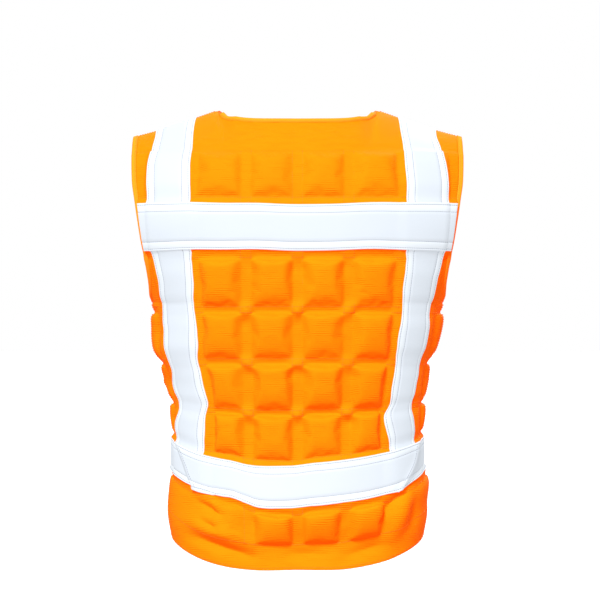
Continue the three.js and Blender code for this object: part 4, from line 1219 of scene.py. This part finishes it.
def thread(name, settings):
    # Spun polyester sewing thread: matt, with two plies that show as a fine slant. The orange one has a
    # painted red glow, an emission like the shell's.
    material, tree = newMaterial(name)
    place = addNode(tree, "ShaderNodeTexCoord").outputs["Object"]
    ply = addNode(tree, "ShaderNodeTexWave", {"bands_direction": "DIAGONAL"},
                  {"Vector": place, "Scale": 900.0, "Distortion": 2.0})
    tint = addNode(tree, "ShaderNodeMix", {"data_type": "RGBA"},
                   {"Factor": ply.outputs["Fac"], 6: linear(settings["dark"]), 7: linear(settings["light"])})
    bump = addNode(tree, "ShaderNodeBump", None,
                   {"Height": ply.outputs["Fac"], "Strength": 0.3, "Distance": 0.0002})
    shader = addNode(tree, "ShaderNodeBsdfPrincipled", None,
                     {"Base Color": tint.outputs[2], "Roughness": 0.7, "IOR": 1.5, "Normal": bump.outputs[0],
                      "Emission Color": linear(settings["glow"]),
                      "Emission Strength": settings["paintedGlowStrength"]})
    addNode(tree, "ShaderNodeOutputMaterial", None, {"Surface": shader.outputs[0]})
    return material


greyThread = thread("greyPolyesterThread", {"light": "#7F8798", "dark": "#646C7D", "glow": "#000000",
                                            "paintedGlowStrength": 0.0})
orangeThread = thread("orangePolyesterThread", {"light": "#FF8A1C", "dark": "#F5700C", "glow": "#FF3800",
                                                "paintedGlowStrength": 0.3})
stitch = {"pitch": 3.2, "size": (2.5, 0.7, 0.6)}
stitchRun = repeatGroup("stitchRun", bead)


def clothPath(grid, rows, columns, inset=0.2):
    rows, columns = np.broadcast_arrays(np.asarray(rows, float), np.asarray(columns, float))
    out = sample(grid, "out", rows, columns)
    return {"points": sample(grid, "outer", rows, columns) + out * inset, "out": out}


def rowsBetween(grid, low, high):
    drops = grid["drop"][:, grid["drop"].shape[1] // 2]
    return np.flatnonzero((drops >= low) & (drops <= high))


# Seams of the panels: the quilting, the hem, the side and shoulder seams. The first three values are places
# in rows and lines of the grid, and the last says how far beside a pillow its stitches run.
seamStitches = {"hemUp": 1.0, "sideIn": (0.4, 1.6), "shoulderDown": 2.0, "besidePillow": 0.8}


def panelSeams(label, grid, sides):
    wide = grid["drop"].shape[1]
    quilted = quiltRows(grid["face"])
    paths = []
    beside = seamStitches["besidePillow"]
    for row in quilted:
        if not row["taped"]:
            for drop in (row["top"] - beside, row["bottom"] + beside):
                if grid["drop"][grid["torsoRows"] - 1, 0] <= drop <= quiltBottom:
                    paths.append(clothPath(grid, rowOf(grid, drop), np.arange(1, wide - 1)))
    for side in sides:
        rows = rowsBetween(grid, quilted[0]["top"] - 4, quiltBottom)
        for name in ("first", "seamIn", "seamOut"):
            paths.append(clothPath(grid, rows, columnOf(grid, side, lineColumn[name])))
        rows = rowsBetween(grid, armpitDrop + 2, vest["backLength"])
        for inset in seamStitches["sideIn"]:
            paths.append(clothPath(grid, rows[1:], columnOf(grid, side, lastColumn - inset)))
        shoulder = np.arange(lineColumn["neck"] + 1, lastColumn)
        top = grid["drop"].shape[0] - seamStitches["shoulderDown"]
        paths.append(clothPath(grid, top, columnOf(grid, side, shoulder)))
    paths.append(clothPath(grid, seamStitches["hemUp"], np.arange(1, wide - 1)))
    obj = repeatAlong(label, paths, stitchRun, stitch["pitch"], stitch["size"], orangeThread)


panelSeams("backStitches", backGrid, (-1, 1))
panelSeams("frontStitchesLeft", fronts["left"], (-1,))
panelSeams("frontStitchesRight", fronts["right"], (1,))
for owner in sorted({path["owner"] for path in stitchPaths}):
    mine = [path for path in stitchPaths if path["owner"] == owner]
    repeatAlong(owner + "Stitches", mine, stitchRun, stitch["pitch"], stitch["size"],
                greyThread if "Tape" in owner else orangeThread)
print("stitches sewn:", len(stitchPaths), "lines on tapes and bindings")


# The front zip: two woven tapes, moulded teeth, a slider and its pull
zipLook = {"toothPitch": 3.2, "tooth": (1.7, 3.4, 2.0), "toothIn": 1.25, "toothUp": 0.55, "tapeEdge": 0.5}
# The slider's parts: half width, from and to along the zip, corner radius, from and to above it, and bevel,
# which is below zero for a hole
sliderBody = (5.0, -17.0, -3.0, 2.2, 1.9, 5.0, 0.6)
sliderBridge = (1.5, -15.0, -5.0, 1.2, 4.6, 6.2, 0.5)
pullTab = (3.4, -39.5, -13.5, 3.0, 4.9, 6.1, 0.4)
pullHole = (1.6, -37.0, -29.0, 1.5, 4.9, 6.1, -0.4)
# The zip tape has the shell's painted red glow, weaker
zipCloth = ribbedPolyester("wovenZipTape", dict(shellCloth, colour="#F98A20", shade="#F08018", ribPitch=0.9,
                                                ribStrength=0.25, paintedGlowStrength=0.2))


def mouldedPlastic(name, settings):
    # Dyed acetal, moulded: smooth, slightly glossy, with faint flow marks
    material, tree = newMaterial(name)
    place = addNode(tree, "ShaderNodeTexCoord").outputs["Object"]
    flow = addNode(tree, "ShaderNodeTexNoise", None, {"Vector": place, "Scale": 260.0, "Detail": 3.0})
    tint = addNode(tree, "ShaderNodeMix", {"data_type": "RGBA"},
                   {"Factor": flow.outputs["Fac"], 6: linear(settings["dark"]), 7: linear(settings["light"])})
    rough = addNode(tree, "ShaderNodeMapRange", None,
                    {"Value": flow.outputs["Fac"], "To Min": 0.3, "To Max": 0.42})
    bump = addNode(tree, "ShaderNodeBump", None,
                   {"Height": flow.outputs["Fac"], "Strength": 0.06, "Distance": 0.0002})
    shader = addNode(tree, "ShaderNodeBsdfPrincipled", None,
                     {"Base Color": tint.outputs[2], "Roughness": rough.outputs[0], "IOR": 1.48,
                      "Normal": bump.outputs[0], "Specular IOR Level": 0.5})
    addNode(tree, "ShaderNodeOutputMaterial", None, {"Surface": shader.outputs[0]})
    return material


zipPlastic = mouldedPlastic("mouldedZipPlastic", {"light": "#F58A24", "dark": "#EC7E18"})
frontMiddle = fronts["right"]["p3"][:, 0] * np.array([0, 1, 1])
frontOut = fronts["right"]["out"][:, 0] * np.array([0, 1, 1])
frontOut = frontOut / np.linalg.norm(frontOut, axis=-1, keepdims=True)


def zipPiece(obj):
    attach(obj, "root")
    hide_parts("front_zip")


def zipTapes():
    # Each tape meets the cloth that it is sewn to
    half = zipper["width"] / 2 + tape["gap"] + 0.1
    thick, r = zipper["thickness"], zipLook["tapeEdge"]
    right = [(half - r, 0.05), (half, r), (half, thick - r), (half - r, thick),
             (zipper["chain"] / 2 + 0.6, thick), (zipper["chain"] / 2, thick - 0.3),
             (0.6, thick + 0.1), (0, thick - 0.5)]
    profile = np.array(right + [(-a, b) for a, b in reversed(right[:-1])])
    rings = frontMiddle[:, None] + frontOut[:, None] * profile[None, :, 1:]
    rings = rings + profile[None, :, :1] * np.array([1, 0, 0])
    count, around = rings.shape[:2]
    uv = mapOf(profile[:, 0], distances(frontMiddle)[:, None], (count, around))
    obj = makeMesh("zipTapes", rings.reshape(-1, 3), ringFaces(count, around, False), zipCloth, uv)
    faceOutwards(obj)
    zipPiece(obj)


def roundedLoop(halfWide, low, high, r, steps=5):
    # A rectangle with round corners, as (across, up) pairs
    corners = [(halfWide - r, high - r, 0), (r - halfWide, high - r, 90), (r - halfWide, low + r, 180),
               (halfWide - r, low + r, 270)]
    points = []
    for x, y, start in corners:
        for i in range(steps + 1):
            angle = math.radians(start + 90 * i / steps)
            points.append((x + r * math.cos(angle), y + r * math.sin(angle)))
    return np.array(points)


def tablet(name, loops, holed):
    # loops: (outline, height) pairs, ring after ring. A holed tablet closes on its first ring.
    top, out = frontMiddle[-1], frontOut[-1]
    up = np.cross(out, np.array([-1.0, 0, 0]))
    rings = np.array([top + np.array([1.0, 0, 0]) * loop[:, :1] + up * loop[:, 1:] + out * height
                      for loop, height in loops])
    obj = makeMesh(name, rings.reshape(-1, 3), ringFaces(*rings.shape[:2], holed), zipPlastic)
    faceOutwards(obj)
    zipPiece(obj)


zipTapes()
toothRun = repeatGroup("toothRun", block)
toothPaths = []
for side in (-1, 1):
    shift = np.array([side * zipLook["toothIn"], 0, 0])
    row = frontMiddle + frontOut * (zipper["thickness"] + zipLook["toothUp"]) + shift
    if side > 0:
        # The right row starts half a pitch higher, so that the teeth mesh
        ahead = (row[1] - row[0]) / np.linalg.norm(row[1] - row[0])
        row = np.concatenate([row[:1] + ahead * zipLook["toothPitch"] / 2, row[1:]])
    toothPaths.append({"points": row, "out": frontOut})
teeth = repeatAlong("zipTeeth", toothPaths, toothRun, zipLook["toothPitch"], zipLook["tooth"], zipPlastic)
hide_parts("front_zip")


def bevelled(halfWide, low, high, r, bottom, top, bevel):
    wide = roundedLoop(halfWide, low, high, r)
    slim = roundedLoop(halfWide - bevel, low + bevel, high - bevel, max(r - bevel, 0.2))
    return [(slim, bottom), (wide, bottom + bevel), (wide, top - bevel), (slim, top)]


tablet("zipSlider", bevelled(*sliderBody), False)
tablet("zipSliderBridge", bevelled(*sliderBridge), False)
tablet("zipPull", bevelled(*pullTab) + bevelled(*pullHole)[::-1], True)
print("zip made")

# The camera looks level at the back, from far enough to leave the shape almost undistorted
view = {"distance": 4.5, "height": -0.255, "shiftRight": 0.0033, "width": 0.78, "back": 0.04}
camera = bpy.data.objects.new("camera", bpy.data.cameras.new("camera"))
scene.collection.objects.link(camera)
camera.location = (view["shiftRight"], -view["distance"], view["height"])
camera.rotation_euler = (math.pi / 2, 0, 0)
camera.data.sensor_width = 36
camera.data.lens = 36 * (view["distance"] - view["back"]) / view["width"]
camera.data.clip_end = 50
scene.camera = camera

# Plain pale floor, and soft studio light that comes from above on the camera's left
studio = {
    "floorDrop": 780.0, "floorHalf": 30000.0, "sky": 0.3, "returned": "#8C8C8C", "softness": 20,
    "sun": 4.15, "sunFrom": (-0.2, -0.78, 0.6), "behind": 2.4, "behindFrom": (0.25, 0.72, 0.55),
}
floorMaterial, floorTree = newMaterial("paleFloor")
grain = addNode(floorTree, "ShaderNodeTexNoise", None, {
    "Vector": addNode(floorTree, "ShaderNodeTexCoord").outputs["Object"], "Scale": 3.0})
floorTint = addNode(floorTree, "ShaderNodeMix", {"data_type": "RGBA"},
                    {"Factor": grain.outputs["Fac"], 6: linear("#FAFAF9"), 7: linear("#FDFDFC")})
# Seen directly it is white, but it sends back less light than it would, so that the folds keep their shade
direct = addNode(floorTree, "ShaderNodeLightPath").outputs["Is Camera Ray"]
floorColour = addNode(floorTree, "ShaderNodeMix", {"data_type": "RGBA"},
                      {"Factor": direct, 6: linear(studio["returned"]), 7: floorTint.outputs[2]})
floorShader = addNode(floorTree, "ShaderNodeBsdfPrincipled", None,
                      {"Base Color": floorColour.outputs[2], "Roughness": 0.9, "Specular IOR Level": 0.2})
addNode(floorTree, "ShaderNodeOutputMaterial", None, {"Surface": floorShader.outputs[0]})
span = studio["floorHalf"]
square = ((-span, -span), (span, -span), (span, span), (-span, span))
corners = [(x, y, -studio["floorDrop"]) for x, y in square]
floor = makeMesh("floor", corners, [[0, 1, 2, 3]], floorMaterial)

# The backdrop is white, and the light that comes back from it is weaker than it looks
scene.world = bpy.data.worlds.new("studio")
scene.world.use_nodes = True
sky = scene.world.node_tree
sky.nodes.clear()
seen = addNode(sky, "ShaderNodeLightPath").outputs["Is Camera Ray"]
strength = addNode(sky, "ShaderNodeMapRange", None, {"Value": seen, "To Min": studio["sky"], "To Max": 1.0})
glow = addNode(sky, "ShaderNodeBackground", None, {"Color": (1, 1, 1, 1), "Strength": strength.outputs[0]})
addNode(sky, "ShaderNodeOutputWorld", None, {"Surface": glow.outputs[0]})
# A soft sun from the camera's side, and a weaker one for the front of the vest, which faces away from it
for name, energy, angle, fromWhere in (
        ("softLight", studio["sun"], studio["softness"], studio["sunFrom"]),
        ("frontLight", studio["behind"], 2 * studio["softness"], studio["behindFrom"])):
    lamp = bpy.data.objects.new(name, bpy.data.lights.new(name, "SUN"))
    lamp.data.energy = energy
    lamp.data.angle = math.radians(angle)
    lamp.rotation_euler = Vector(fromWhere).to_track_quat("Z", "Y").to_euler()
    scene.collection.objects.link(lamp)
scene.view_settings.view_transform = "Standard"
print("camera and light set")
